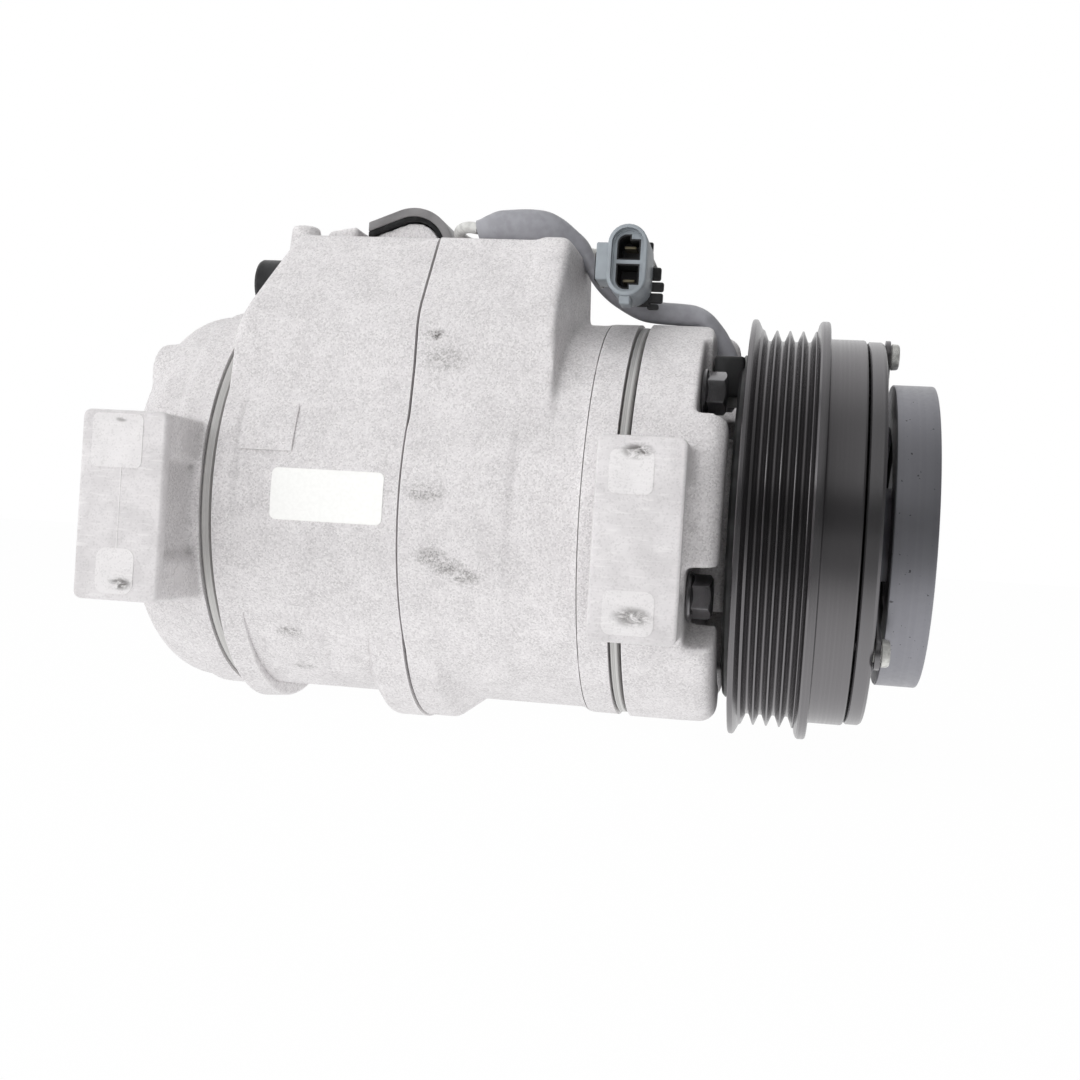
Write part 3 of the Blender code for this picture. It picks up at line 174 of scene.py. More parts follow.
class StudioSettings(bpy.types.PropertyGroup):
    """Light, floor and camera."""
    key: FloatProperty(name="Key light", description="Power of the overhead softbox", unit="POWER",
                       default=4.1)
    room: FloatProperty(name="Room light", description="Strength of the light from all round", default=0.62)
    lens: FloatProperty(name="Lens", description="Focal length on a 36 mm sensor", unit="CAMERA",
                        default=46.64)
    fill: FloatProperty(name="Front fill", description="Power of the broad light behind the camera",
                        unit="POWER", default=6.2)
    table: FloatProperty(name="Light table", description="Share of the floor's own glow", subtype="FACTOR",
                         default=1.0, min=0, max=1)
    floor: colour("Floor", "Pale floor", "#FAFAFA")


EASED = {"interpolation_type": "SMOOTHSTEP"}
NOISE = "ShaderNodeTexNoise"
RANGE = "ShaderNodeMapRange"
# Real grains are about 0.2 mm; 0.4 mm is the finest that shows in the picture.
GRAIN = ("ShaderNodeTexVoronoi", {"Scale": per_mm(0.4)}, "Color")
# Pointiness of the mesh, which paints shade into creases and highlights onto edges.
PAINTED_EDGE_SHADING = ("ShaderNodeNewGeometry", {}, "Pointiness")


def add(tree, kind, inputs=(), **settings):
    """One node with its settings; inputs, by name or in order, take values or other nodes' sockets."""
    node = tree.nodes.new(kind)
    for key, value in settings.items():
        setattr(node, key, value)
    for key, value in inputs.items() if isinstance(inputs, dict) else enumerate(inputs):
        if isinstance(value, bpy.types.NodeSocket):
            tree.links.new(value, node.inputs[key])
        else:
            node.inputs[key].default_value = value
    return node


def turning_lines(tree, place, width):
    """Fine rings left by a lathe: the pattern changes only along the shaft and outwards from it."""
    across = add(tree, "ShaderNodeVectorMath", (place, (0, 1, 1)), operation="MULTIPLY").outputs["Vector"]
    radius = add(tree, "ShaderNodeVectorMath", (across,), operation="LENGTH").outputs["Value"]
    along = add(tree, "ShaderNodeSeparateXYZ", (place,)).outputs["X"]
    spot = add(tree, "ShaderNodeCombineXYZ", (along, radius)).outputs["Vector"]
    return add(tree, NOISE, {"Vector": spot, "Scale": per_mm(width), "Detail": 2.0},
               noise_dimensions="2D").outputs["Fac"]


def rubbed_spots(tree, place, grainy):
    """Mask of the rubbed spots, broken up into streaks, and into grains where the cast skin is left."""
    drag = add(tree, "ShaderNodeMapping", {"Vector": place, "Scale": (0.5, 1, 1)}).outputs["Vector"]
    smear = add(tree, NOISE, {"Vector": drag, "Scale": per_mm(1.6), "Detail": 6.0, "Roughness": 0.7,
                              "Distortion": 0.8}).outputs["Fac"]
    touched = 0.0
    for *spot, width, strength in SMUDGES:
        off = add(tree, "ShaderNodeVectorMath", (place, Vector(spot) * MM), operation="SUBTRACT")
        drawn = add(tree, "ShaderNodeVectorMath", (off.outputs["Vector"], (0.7, 1, 1.4)),
                    operation="MULTIPLY")
        away = add(tree, "ShaderNodeVectorMath", (drawn.outputs["Vector"],), operation="LENGTH")
        limits = (away.outputs["Value"], 0.3 * width * MM, width * MM, strength, 0.0)
        near = add(tree, RANGE, limits, **EASED).outputs["Result"]
        touched = add(tree, "ShaderNodeMath", (touched, near), operation="MAXIMUM").outputs["Value"]
    gaps = [(smear, 0.34, 0.56)]
    if grainy:
        kind, inputs, output = GRAIN
        grain = add(tree, kind, {"Vector": place, **inputs}).outputs[output]
        gaps.append((grain, 0.3, 0.65, 1.15, 0.55))
    for limits in gaps:
        share = add(tree, RANGE, limits, **EASED).outputs["Result"]
        touched = add(tree, "ShaderNodeMath", (touched, share), operation="MULTIPLY").outputs["Value"]
    return touched


def shade(tone, share):
    """A tone made darker or paler."""
    return [share * c for c in tone]


# Recipes of the finishes. A layer is a pattern, its low and high value, the share of a tone at each, and the
# tone. Gloss is a pattern, its low and high value and the roughness at each. Relief is a pattern with its
# depth in millimetres and its strength.


def as_cast_aluminium(scene):
    # Die-cast aluminium with its casting skin: grey grains and release stains, with painted shade in its
    # creases and painted highlights along its edges.
    look = scene.compressor_castings
    return {"roughness": 0.5, "metallic": 0.18, "base": look.dull,
            "patterns": {"grain": GRAIN, "edge": PAINTED_EDGE_SHADING, "rubbed": (rubbed_spots, True),
                         "cloud": (NOISE, {"Scale": per_mm(9), "Detail": 6.0, "Roughness": 0.7}, "Fac")},
            "layers": (("cloud", 0.35, 0.65, look.body), ("grain", 0.5, 0.85, 0.0, 0.5, look.fleck_and_edge_highlight),
                       ("grain", 0.15, 0.42, 0.2, 0.0, look.stain_and_crease_shade), ("rubbed", look.stain_and_crease_shade),
                       # Painted shade darkens the concave creases and a painted highlight brightens the
                       # convex edges, by the mesh's pointiness.
                       ("edge", 0.40, 0.496, 0.85, 0.0, look.stain_and_crease_shade),
                       ("edge", 0.515, 0.57, 0.0, 0.5, look.fleck_and_edge_highlight)),
            "gloss": ("grain", 0.3, 0.7, 0.58, 0.44),
            "relief": (("cloud", 0.25, 0.25), ("grain", 0.1, 0.12))}


def polished_cast_pad(scene):
    # Faces and ejector pads of the lugs: the same metal with a smoother skin, drawn out in fine streaks.
    # The pads stand a hair proud of the lug's face and are paler than it.
    look = scene.compressor_castings
    pad_depths = ((LUG_FACE - 0.12) * MM, (LUG_FACE - 0.04) * MM)
    return {"roughness": 0.42, "metallic": 0.16, "base": look.dull,
            "patterns": {"lines": (NOISE, {"Scale": per_mm(0.7), "Detail": 3.0}, "Fac", (0.12, 1, 1)),
                         "cloud": (NOISE, {"Scale": per_mm(7), "Detail": 4.0}, "Fac"), "grain": GRAIN,
                         "depth": ("ShaderNodeSeparateXYZ", {}, "Y"), "rubbed": (rubbed_spots, False)},
            "layers": (("cloud", 0.35, 0.65, look.body), ("lines", 0.5, 0.75, 0.0, 0.4, look.fleck_and_edge_highlight),
                       ("depth", *pad_depths, 0.4, 0.0, look.fleck_and_edge_highlight),
                       ("grain", 0.15, 0.4, 0.12, 0.0, look.stain_and_crease_shade), ("rubbed", look.stain_and_crease_shade)),
            "relief": (("lines", 0.02, 0.1),)}


def ground_plate_steel(scene):
    # Ground rim of a blanked steel plate: grey with fine rings along its edge.
    plate = scene.compressor_castings.plate
    return {"roughness": 0.32, "metallic": 0.45, "base": shade(plate, 0.6),
            "patterns": {"lines": (turning_lines, 0.5)}, "layers": (("lines", 0.35, 0.65, plate),),
            "gloss": ("lines", 0.3, 0.7, 0.46, 0.28), "relief": (("lines", 0.05, 0.35),)}


def paper_label(scene):
    # Blank label of coated paper: white and matte, with faint fibres.
    paper = scene.compressor_castings.paper
    return {"roughness": 0.6, "base": shade(paper, 0.97),
            "patterns": {"fibre": (NOISE, {"Scale": per_mm(0.9), "Detail": 5.0}, "Fac")},
            "layers": (("fibre", 0.4, 0.6, paper),), "relief": (("fibre", 0.02, 0.2),)}


def electro_coated_steel(scene):
    # Turned steel under a thin satin black coat: the lathe's rings show through as fine lines of gloss, and
    # its convex edges carry a painted highlight.
    black = scene.compressor_clutch.black
    return {"roughness": 0.25, "metallic": 0.95, "base": black,
            "patterns": {"lines": (turning_lines, 0.6), "edge": PAINTED_EDGE_SHADING,
                         "dust": (NOISE, {"Scale": per_mm(2.2), "Detail": 6.0, "Roughness": 0.75}, "Fac")},
            "layers": (("lines", 0.4, 0.7, 0.0, 0.35, shade(black, 1.12)),
                       ("dust", 0.66, 0.74, 0.0, 0.25, linear("#959595")),
                       # Painted highlight: convex edges turn pale grey.
                       ("edge", 0.53, 0.6, 0.0, 0.5, linear("#909092"))),
            "gloss": ("lines", 0.3, 0.7, 0.27, 0.24), "relief": (("lines", 0.01, 0.05),)}


def grey_epoxy_coat(scene):
    # Matte grey coat on the hub: even and dull, with faint rings and small chips.
    grey = scene.compressor_clutch.grey
    return {"roughness": 0.36, "metallic": 0.85, "base": grey,
            "patterns": {"lines": (turning_lines, 1.2),
                         "speck": (NOISE, {"Scale": per_mm(1.1), "Detail": 2.0}, "Fac")},
            "layers": (("lines", 0.35, 0.65, shade(grey, 1.04)),
                       ("speck", 0.70, 0.75, 0.0, 0.8, shade(grey, 0.2))),
            "gloss": ("speck", 0.3, 0.7, 0.42, 0.34), "relief": (("speck", 0.02, 0.25),)}


def zinc_plated_steel(scene):
    # Bright zinc plate on rivets and retaining rings: silvery, with soft cloudy patches.
    zinc = scene.compressor_clutch.zinc
    return {"roughness": 0.34, "metallic": 0.5, "base": shade(zinc, 0.7),
            "patterns": {"cloud": (NOISE, {"Scale": per_mm(1.6), "Detail": 4.0}, "Fac")},
            "layers": (("cloud", 0.4, 0.62, zinc),),
            "gloss": ("cloud", 0.3, 0.7, 0.44, 0.26), "relief": (("cloud", 0.03, 0.25),)}


def ground_bearing_steel(scene):
    # Hardened steel of the shaft and bearings: bright, with grinding rings.
    return {"roughness": 0.24, "metallic": 1.0, "base": linear("#A9AAAC"),
            "patterns": {"lines": (turning_lines, 0.4)},
            "layers": (("lines", 0.35, 0.65, linear("#C9CACC")),),
            "gloss": ("lines", 0.3, 0.7, 0.3, 0.18)}


def coated_piston(scene):
    # Pistons: machined aluminium under a dark slippery coat.
    return {"roughness": 0.42, "metallic": 0.6, "base": linear("#55565A"),
            "patterns": {"cloud": (NOISE, {"Scale": per_mm(3), "Detail": 4.0}, "Fac")},
            "layers": (("cloud", 0.35, 0.65, linear("#6E6F73")),), "relief": (("cloud", 0.02, 0.2),)}


def enamelled_copper(scene):
    # Coil winding: round enamelled wire, seen as fine ridges along the shaft.
    # A wave of scale 1 repeats about every twentieth of a metre, so its scale is that much smaller.
    return {"roughness": 0.28, "metallic": 0.8, "base": linear("#5A2A14"),
            "patterns": {"wire": ("ShaderNodeTexWave", {"Scale": per_mm(0.8) / 20}, "Fac")},
            "layers": (("wire", linear("#B4602C")),), "relief": (("wire", 0.2, 0.6),)}


def tinned_brass(scene):
    # Connector blades: brass under a soft tin plate that has yellow worn spots.
    return {"roughness": 0.3, "metallic": 0.5, "base": linear("#D6D4CC"),
            "patterns": {"cloud": (NOISE, {"Scale": per_mm(0.9), "Detail": 3.0}, "Fac")},
            "layers": (("cloud", 0.4, 0.66, linear("#BFA468")),), "relief": (("cloud", 0.02, 0.3),)}


def moulded_nylon(scene):
    # Glass-filled nylon of the connector: blue-grey, satin, with a fine moulded grain.
    nylon = scene.compressor_leads.nylon
    return {"roughness": 0.42, "ior": 1.53, "base": shade(nylon, 0.82),
            "patterns": {"grain": (NOISE, {"Scale": per_mm(0.5), "Detail": 3.0}, "Fac"),
                         "flow": (NOISE, {"Scale": per_mm(6), "Detail": 2.0}, "Fac")},
            "layers": (("flow", 0.35, 0.65, nylon),),
            "gloss": ("grain", 0.3, 0.7, 0.5, 0.36), "relief": (("grain", 0.02, 0.25),)}


def soft_vinyl(scene):
    # Extruded vinyl sleeve: mid grey with a soft gloss and shallow creases across its length.
    vinyl = scene.compressor_leads.vinyl
    return {"roughness": 0.46, "ior": 1.53, "base": shade(vinyl, 0.88),
            "patterns": {"crease": (NOISE, {"Scale": per_mm(5), "Detail": 3.0, "Distortion": 0.8}, "Fac"),
                         "grime": (NOISE, {"Scale": per_mm(2.2), "Detail": 5.0}, "Fac")},
            "layers": (("grime", 0.35, 0.65, vinyl),),
            "gloss": ("grime", 0.3, 0.7, 0.52, 0.4), "relief": (("crease", 0.5, 0.35),)}


def pale_lead_vinyl(scene):
    # Vinyl insulation of the bare lead: off-white and smooth, slightly soiled.
    pale = scene.compressor_leads.insulation
    return {"roughness": 0.4, "ior": 1.53, "base": pale,
            "patterns": {"grime": (NOISE, {"Scale": per_mm(1.5), "Detail": 4.0}, "Fac")},
            "layers": (("grime", 0.4, 0.65, shade(pale, 0.8)),), "relief": (("grime", 0.03, 0.2),)}


def moulded_black_plastic(scene):
    # Moulded plug and clip: black with a faint grey bloom and a spark-eroded grain. The coil's black shell
    # wears it too, darkened as painted shade for the gap behind the pulley, and it lines the connector's
    # cells as painted shade.
    black = scene.compressor_leads.plastic
    return {"roughness": 0.4, "base": black,
            "patterns": {"grain": (NOISE, {"Scale": per_mm(0.6), "Detail": 3.0}, "Fac"),
                         "bloom": (NOISE, {"Scale": per_mm(7), "Detail": 3.0}, "Fac")},
            "layers": (("bloom", 0.4, 0.65, shade(black, 1.9)),),
            "gloss": ("grain", 0.3, 0.7, 0.48, 0.34), "relief": (("grain", 0.03, 0.3),)}


def satin_cap_plastic(scene):
    # Polyethylene transport cap: dark grey and waxy, with fine flow lines along its arch.
    return {"roughness": 0.36, "ior": 1.7, "base": linear("#757374"),
            "patterns": {"lines": (NOISE, {"Scale": per_mm(0.9), "Detail": 3.0}, "Fac", (0.1, 1, 0.1))},
            "layers": (("lines", 0.35, 0.65, linear("#8A8889")),),
            "gloss": ("lines", 0.3, 0.7, 0.44, 0.3), "relief": (("lines", 0.03, 0.3),)}


def nitrile_rubber(scene):
    # Bonded rubber of the hub's damper: black, dull, slightly powdery. It also makes the black band of
    # painted shade under the port cap's arch.
    return {"roughness": 0.72, "ior": 1.52, "base": linear("#161617"),
            "patterns": {"bloom": (NOISE, {"Scale": per_mm(2.5), "Detail": 6.0}, "Fac")},
            "layers": (("bloom", 0.4, 0.66, linear("#2B2B2C")),), "relief": (("bloom", 0.05, 0.35),)}


RECIPES = {recipe.__name__: recipe for recipe in (
    as_cast_aluminium, polished_cast_pad, ground_plate_steel, paper_label, electro_coated_steel,
    grey_epoxy_coat, zinc_plated_steel, ground_bearing_steel, coated_piston, enamelled_copper, tinned_brass,
    moulded_nylon, soft_vinyl, pale_lead_vinyl, moulded_black_plastic, satin_cap_plastic, nitrile_rubber)}


def patterns(tree, wanted):
    """Sockets of a recipe's patterns, on the piece's own coordinates."""
    place = add(tree, "ShaderNodeTexCoord").outputs["Object"]
    found = {}
    for key, (kind, *rest) in wanted.items():
        if callable(kind):
            found[key] = kind(tree, place, *rest)
            continue
        inputs, output, *stretch = rest
        node = add(tree, kind, inputs)
        spot = place
        if stretch:
            spot = add(tree, "ShaderNodeMapping", {"Vector": place, "Scale": stretch[0]}).outputs["Vector"]
        if "Vector" in node.inputs:
            tree.links.new(spot, node.inputs["Vector"])
        found[key] = node.outputs[output]
    return found


def finish(name):
    """The material of that name, made once from its recipe."""
    if name in bpy.data.materials:
        return bpy.data.materials[name]
    recipe = RECIPES[name](bpy.context.scene)
    material = bpy.data.materials.new(name)
    material.use_nodes = True
    tree = material.node_tree
    shader = tree.nodes["Principled BSDF"]
    for socket in ("Roughness", "Metallic", "IOR"):
        if socket.lower() in recipe:
            shader.inputs[socket].default_value = recipe[socket.lower()]
    found = patterns(tree, recipe["patterns"])
    skin = (*recipe["base"], 1)
    for key, *limits, tone in recipe["layers"]:
        share = add(tree, RANGE, (found[key], *limits), **EASED).outputs["Result"] if limits else found[key]
        skin = add(tree, "ShaderNodeMix", {0: share, 6: skin, 7: (*tone, 1)}, data_type="RGBA").outputs[2]
    tree.links.new(skin, shader.inputs["Base Color"])
    if "gloss" in recipe:
        key, *limits = recipe["gloss"]
        rough = add(tree, RANGE, (found[key], *limits), **EASED).outputs["Result"]
        tree.links.new(rough, shader.inputs["Roughness"])
    under = {}
    for key, depth, strength in recipe.get("relief", ()):
        inputs = {"Height": found[key], "Distance": depth * MM, "Strength": strength, **under}
        under = {"Normal": add(tree, "ShaderNodeBump", inputs).outputs["Normal"]}
        tree.links.new(under["Normal"], shader.inputs["Normal"])
    return material


def around(angle, radius, x=0.0):
    """Point at an angle about the shaft, counted from -Y towards +Z."""
    return Vector((x, -radius * math.cos(angle), radius * math.sin(angle)))


def arc(centre, radius, start, end, steps):
    """Points of a round corner, by angles in degrees."""
    turns = [math.radians(start + (end - start) * i / steps) for i in range(steps + 1)]
    return [(centre[0] + radius * math.cos(t), centre[1] + radius * math.sin(t)) for t in turns]


def turned(profile, steps=96, closed=True):
    """Outline of (x, radius) points, spun about the shaft."""
    bm = bmesh.new()
    verts = [bm.verts.new((x, 0, r)) for x, r in profile]
    edges = [bm.edges.new(pair) for pair in zip(verts, verts[1:])]
    if closed:
        edges.append(bm.edges.new((verts[-1], verts[0])))
    bmesh.ops.spin(bm, geom=verts + edges, cent=(0, 0, 0), axis=(1, 0, 0), angle=2 * math.pi, steps=steps,
                   use_merge=True)
    return outward(bm)


def sector(x_range, radii, start, end):
    """Length of a ring between two angles in degrees."""
    bm = bmesh.new()
    (low, high), (inner, outer) = x_range, radii
    steps = round(high - low)
    rim = [(high - (high - low) * i / steps, outer) for i in range(steps + 1)]
    corners = [(low, inner), (high, inner), *rim]
    face = bm.faces.new([bm.verts.new(around(math.radians(start), r, x)) for x, r in corners])
    # Angles run from -Y towards +Z, which is a turn about -X.
    bmesh.ops.spin(bm, geom=[face], cent=(0, 0, 0), axis=(-1, 0, 0), angle=math.radians(end - start),
                   steps=24)
    bmesh.ops.remove_doubles(bm, verts=bm.verts, dist=1e-4)
    bmesh.ops.holes_fill(bm, edges=[e for e in bm.edges if e.is_boundary])
    return outward(bm)


def outward(bm):
    bmesh.ops.remove_doubles(bm, verts=bm.verts, dist=1e-4)
    bmesh.ops.recalc_face_normals(bm, faces=bm.faces)
    return bm


def prism(outline, axis, low, high):
    """Flat outline pushed along X, Y or Z; its corners are the other two coordinates."""
    along = "XYZ".index(axis)
    bm = bmesh.new()
    face = bm.faces.new([bm.verts.new((*spot[:along], low, *spot[along:])) for spot in outline])
    made = bmesh.ops.extrude_face_region(bm, geom=[face])["geom"]
    push = Vector([high - low if letter == axis else 0 for letter in "XYZ"])
    bmesh.ops.translate(bm, vec=push, verts=[g for g in made if isinstance(g, bmesh.types.BMVert)])
    return outward(bm)


def block(low, high):
    low, high = Vector(low), Vector(high)
    bm = bmesh.new()
    bmesh.ops.create_cube(bm, size=1)
    bmesh.ops.scale(bm, vec=high - low, verts=bm.verts)
    bmesh.ops.translate(bm, vec=(low + high) / 2, verts=bm.verts)
    return bm


def rod(start, end, radius, end_radius=None, segments=40):
    start, end = Vector(start), Vector(end)
    bm = bmesh.new()
    place = Matrix.Translation((start + end) / 2) @ (end - start).to_track_quat("Z", "Y").to_matrix().to_4x4()
    bmesh.ops.create_cone(bm, cap_ends=True, segments=segments, radius1=radius, depth=(end - start).length,
                          radius2=radius if end_radius is None else end_radius, matrix=place)
    return bm


def rounded(bm, width, segments=3, angle=25):
    """Bevels every edge sharper than an angle."""
    edges = [e for e in bm.edges if len(e.link_faces) == 2 and e.calc_face_angle(0) > math.radians(angle)]
    bmesh.ops.bevel(bm, geom=edges, offset=width, segments=segments, profile=0.5, affect="EDGES", material=-1,
                    clamp_overlap=True)
    return outward(bm)


def together(*shapes):
    """All shapes as one, still as separate closed shells."""
    whole = shapes[0]
    for shape in shapes[1:]:
        mesh = bpy.data.meshes.new("shape")
        shape.to_mesh(mesh)
        whole.from_mesh(mesh)
        bpy.data.meshes.remove(mesh)
        shape.free()
    return whole


def moved(bm, matrix):
    bmesh.ops.transform(bm, matrix=matrix, verts=bm.verts)
    return bm


def helper(bm):
    """Object that a modifier works with, in millimetres."""
    mesh = bpy.data.meshes.new("helper")
    bm.to_mesh(mesh)
    bm.free()
    obj = bpy.data.objects.new("helper", mesh)
    bpy.context.scene.collection.objects.link(obj)
    return obj


def worked(base, steps):
    """Shape after its steps: remesh with a grid, smooth with passes, or a Boolean with another shape."""
    obj = helper(base)
    tools = []
    for kind, value in steps:
        if kind == "remesh":
            step = obj.modifiers.new(kind, "REMESH")
            step.mode = "VOXEL"
            step.voxel_size = value
        elif kind == "smooth":
            step = obj.modifiers.new(kind, "SMOOTH")
            step.factor = 0.5
            step.iterations = value
        else:
            step = obj.modifiers.new(kind, "BOOLEAN")
            step.operation = kind
            step.solver = "MANIFOLD"
            tools.append(helper(value))
            step.object = tools[-1]
    graph = bpy.context.evaluated_depsgraph_get()
    mesh = bpy.data.meshes.new_from_object(obj.evaluated_get(graph))
    bm = bmesh.new()
    bm.from_mesh(mesh)
    for tool in (obj, *tools):
        old = tool.data
        bpy.data.objects.remove(tool)
        bpy.data.meshes.remove(old)
    bpy.data.meshes.remove(mesh)
    return bm


def piece(bm, name, material, body, nodes=(), crease=32):
    """Puts a shape in millimetres into the scene as a finished piece of the compressor."""
    bmesh.ops.scale(bm, vec=(MM, MM, MM), verts=bm.verts)
    mesh = bpy.data.meshes.new(name)
    bm.to_mesh(mesh)
    bm.free()
    mesh.shade_smooth()
    mesh.set_sharp_from_angle(angle=math.radians(crease))
    mesh.materials.append(finish(material))
    obj = bpy.data.objects.new(name, mesh)
    bpy.context.scene.collection.objects.link(obj)
    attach(obj, body)
    if nodes:
        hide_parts(*nodes)


def ring_of_rods(angles, circle, x_range, radius, segments=24):
    """Rods along the shaft at angles about it."""
    return together(*[rod(*[around(a, circle, x) for x in x_range], radius, segments=segments)
                      for a in angles])


def bolt_rods(x0, x1):
    return ring_of_rods(BOLT_ANGLES, BOLT_CIRCLE, (x0, x1), 3.3)


def lug(x0, x1, root, ends=LUG_ENDS):
    """Lug as cast: a face plate, two bolt bosses and a thinner web between them."""
    low, high = ends
    plate = rounded(block((x0 + 0.4, LUG_FACE + 0.5, low + 0.4), (x1 - 0.4, LUG_FACE + 4.4, high - 0.4)),
                    1.2, 4)
    bosses = [rounded(block((x0 + 0.2, LUG_FACE + 1, z), (x1 - 0.2, root, z + 11.5)), 1.4, 3)
              for z in (high - 11.5, low)]
    web = block((x0 + 2.6, LUG_FACE + 1, low + 4), (x1 - 2.6, root, high - 4))
    return [plate, *bosses, web]


def round_cornered(x_range, z_range, radius):
    """Outline of an upright rectangle with round corners."""
    (x0, x1), (z0, z1) = x_range, z_range
    corners = [((x1 - radius, z1 - radius), 0), ((x0 + radius, z1 - radius), 90),
               ((x0 + radius, z0 + radius), 180), ((x1 - radius, z0 + radius), 270)]
    return [p for centre, start in corners for p in arc(centre, radius, start, start + 90, 6)]


def lug_face(x0, x1, ends=LUG_ENDS):
    """Front of a lug: a plate with crisp edges, where the die left the skin smooth."""
    return rounded(prism(round_cornered((x0, x1), ends, 1.9), "Y", LUG_FACE, LUG_FACE + 3.6), 0.9, 4)


def lug_bore(x0, x1):
    middle = (x0 + x1) / 2
    return rod((middle, LUG_BORE_Y, LUG_ENDS[0] - 5), (middle, LUG_BORE_Y, LUG_ENDS[1] + 5), 5.1, segments=48)


def ejector_pad(x_range, z_range, radius, height):
    """Flat rounded pad, a hair proud of a lug's face."""
    return prism(round_cornered(x_range, z_range, radius), "Y", LUG_FACE - height, LUG_FACE + 0.4)


def port_arch(radius, left, steps):
    """Arch over the top port: round from the right, then straight down to the left."""
    crown = arc(TOP_PORT, radius, 8, 112, steps)
    x, z = crown[-1]
    return [*crown, (left, z - (x - left) * math.tan(math.radians(22)))]


def cast(name, forms, pockets, crisp, cuts, node):
    """One casting: forms flow together, pockets get cast edges, crisp forms follow, cuts come last."""
    look = bpy.context.scene.compressor_castings
    steps = [("remesh", look.grid / MM)]
    steps += [("DIFFERENCE", pocket) for pocket in pockets]
    steps += [("remesh", look.grid / MM)] if pockets else []
    steps += [("smooth", look.passes), *[("UNION", form) for form in crisp], *cuts]
    piece(worked(together(*forms), steps), name, "as_cast_aluminium", "housing", [node],
          crease=38)


class COMPRESSOR_OT_rear_cover(bpy.types.Operator):
    """Casts the domed rear cover with its bolt bosses and lug"""
    bl_idname = "compressor.rear_cover"
    bl_label = "Rear cover"

    def execute(self, context):
        look = context.scene.compressor_castings
        dome = arc((13.8, 39.6), 13.8, 180, 95, 12)
        shell = turned([(0, 0), (0, 29), (0.9, 30), (0.9, 35), (0, 36), *dome, (15.6, 53.3), (16.6, 54.9),
                        (33, 55), (33, 0)], closed=False)
        bosses = [rod(around(a, 44.2, 1.6), around(a, 44.2, 18), 8.2, 9.8) for a in BOLT_ANGLES]
        lug_x = (3.5, 24.6)
        forms = [shell, *bosses, *lug(lug_x[0] - 1.2, lug_x[1], -40)]
        keep = block((-20, -90, -90), (REAR_FACE, 90, 90))
        chamber = rod((8, 0, 0), (40, 0, 0), 40.5, segments=96)
        cuts = [("INTERSECT", keep), ("DIFFERENCE", chamber), ("DIFFERENCE", bolt_rods(9.5, 32)),
                ("DIFFERENCE", lug_bore(*lug_x))]
        cast("rear_cover_casting", forms, [], [], cuts, "rear_housing")
        proud = look.pad / MM
        pads = together(ejector_pad((5.2, 18.6), (4.4, 17.8), 1.6, proud),
                        ejector_pad((8.2, 18.2), (-27.0, -15.6), 2.6, proud))
        marks = [rod((23.6, -63, z), (24.52, -63, z), 3.0) for z in (12.4, -22.6)]
        line = rounded(block((13.2, LUG_FACE - 0.1, -15.6), (13.5, LUG_FACE + 0.4, 4.4)), 0.05)
        pads = together(pads, line, *marks, lug_face(lug_x[0] - 1.2, lug_x[1]))
        piece(pads, "rear_lug_pads", "polished_cast_pad", "housing")
        return {"FINISHED"}


def port_block(x0, x1):
    """Block over the cylinders, its near wall rolling over into the slope, with drafted ends."""
    outline = [(-42, 17), (-49.2, 21), (-46.6, 36), *arc((-32.3, 44.8), 14, 180, 142.7, 6),
               (-28.4, BLOCK_TOP), (26, BLOCK_TOP), (30, 67), (30, 40), (0, 30)]
    bm = prism(outline, "X", x0, x1)
    for corner, normal in (((29.4, 0, 47), (-30, 0, 9.6)), ((117.4, 0, 58), (1, -0.06, 0.04)),
                           ((117.2, 0, 60), (1, 0.16, 0.04)), ((117, 0, 71.3), (1, 0, 1))):
        geom = [*bm.verts, *bm.edges, *bm.faces]
        bmesh.ops.bisect_plane(bm, geom=geom, plane_co=corner, plane_no=normal, clear_outer=True)
        bmesh.ops.holes_fill(bm, edges=[e for e in bm.edges if e.is_boundary])
    return rounded(bm, 2.4, 4)


def foot(stations, reach):
    """Crescent foot under a cylinder: a round flange set low, thinning out up both flanks."""
    drop = reach - max(radius for _, radius in stations)
    (x0, r0), (x1, r1) = stations[0], stations[-1]
    rings = range(10, 0, -1)
    rows = []
    for (a, near), (b, far) in zip(stations, stations[1:]):
        count = max(1, round(b - a))
        rows += [(a + (b - a) * i / count, near + (far - near) * i / count) for i in range(count)]
    profile = [(x0, 0), *[(x0, r0 - i) for i in rings], *rows, (x1, r1),
               *[(x1, r1 - i) for i in reversed(rings)], (x1, 0)]
    return moved(rounded(turned(profile, 128, closed=False), 0.8, 2), Matrix.Translation((0, 0, -drop)))


def cylinder_cuts(x0, x1):
    """Machined faces and bores of one cylinder half."""
    keep = block((x0, -90, -90), (x1, 90, 90))
    rear, front = SWASH_ROOM
    core = turned([(x0 - 9, 0), (x0 - 9, 14), (rear, 14), (rear, 43.5), (front, 43.5), (front, 14),
                   (x1 + 9, 14), (x1 + 9, 0)], 64, closed=False)
    bores = ring_of_rods(PISTON_ANGLES, PISTON_CIRCLE, (x0 - 8, x1 + 8), PISTON_BORE, 48)
    return [("INTERSECT", keep), ("DIFFERENCE", core), ("DIFFERENCE", bores),
            ("DIFFERENCE", bolt_rods(x0 - 7, x1 + 7))]


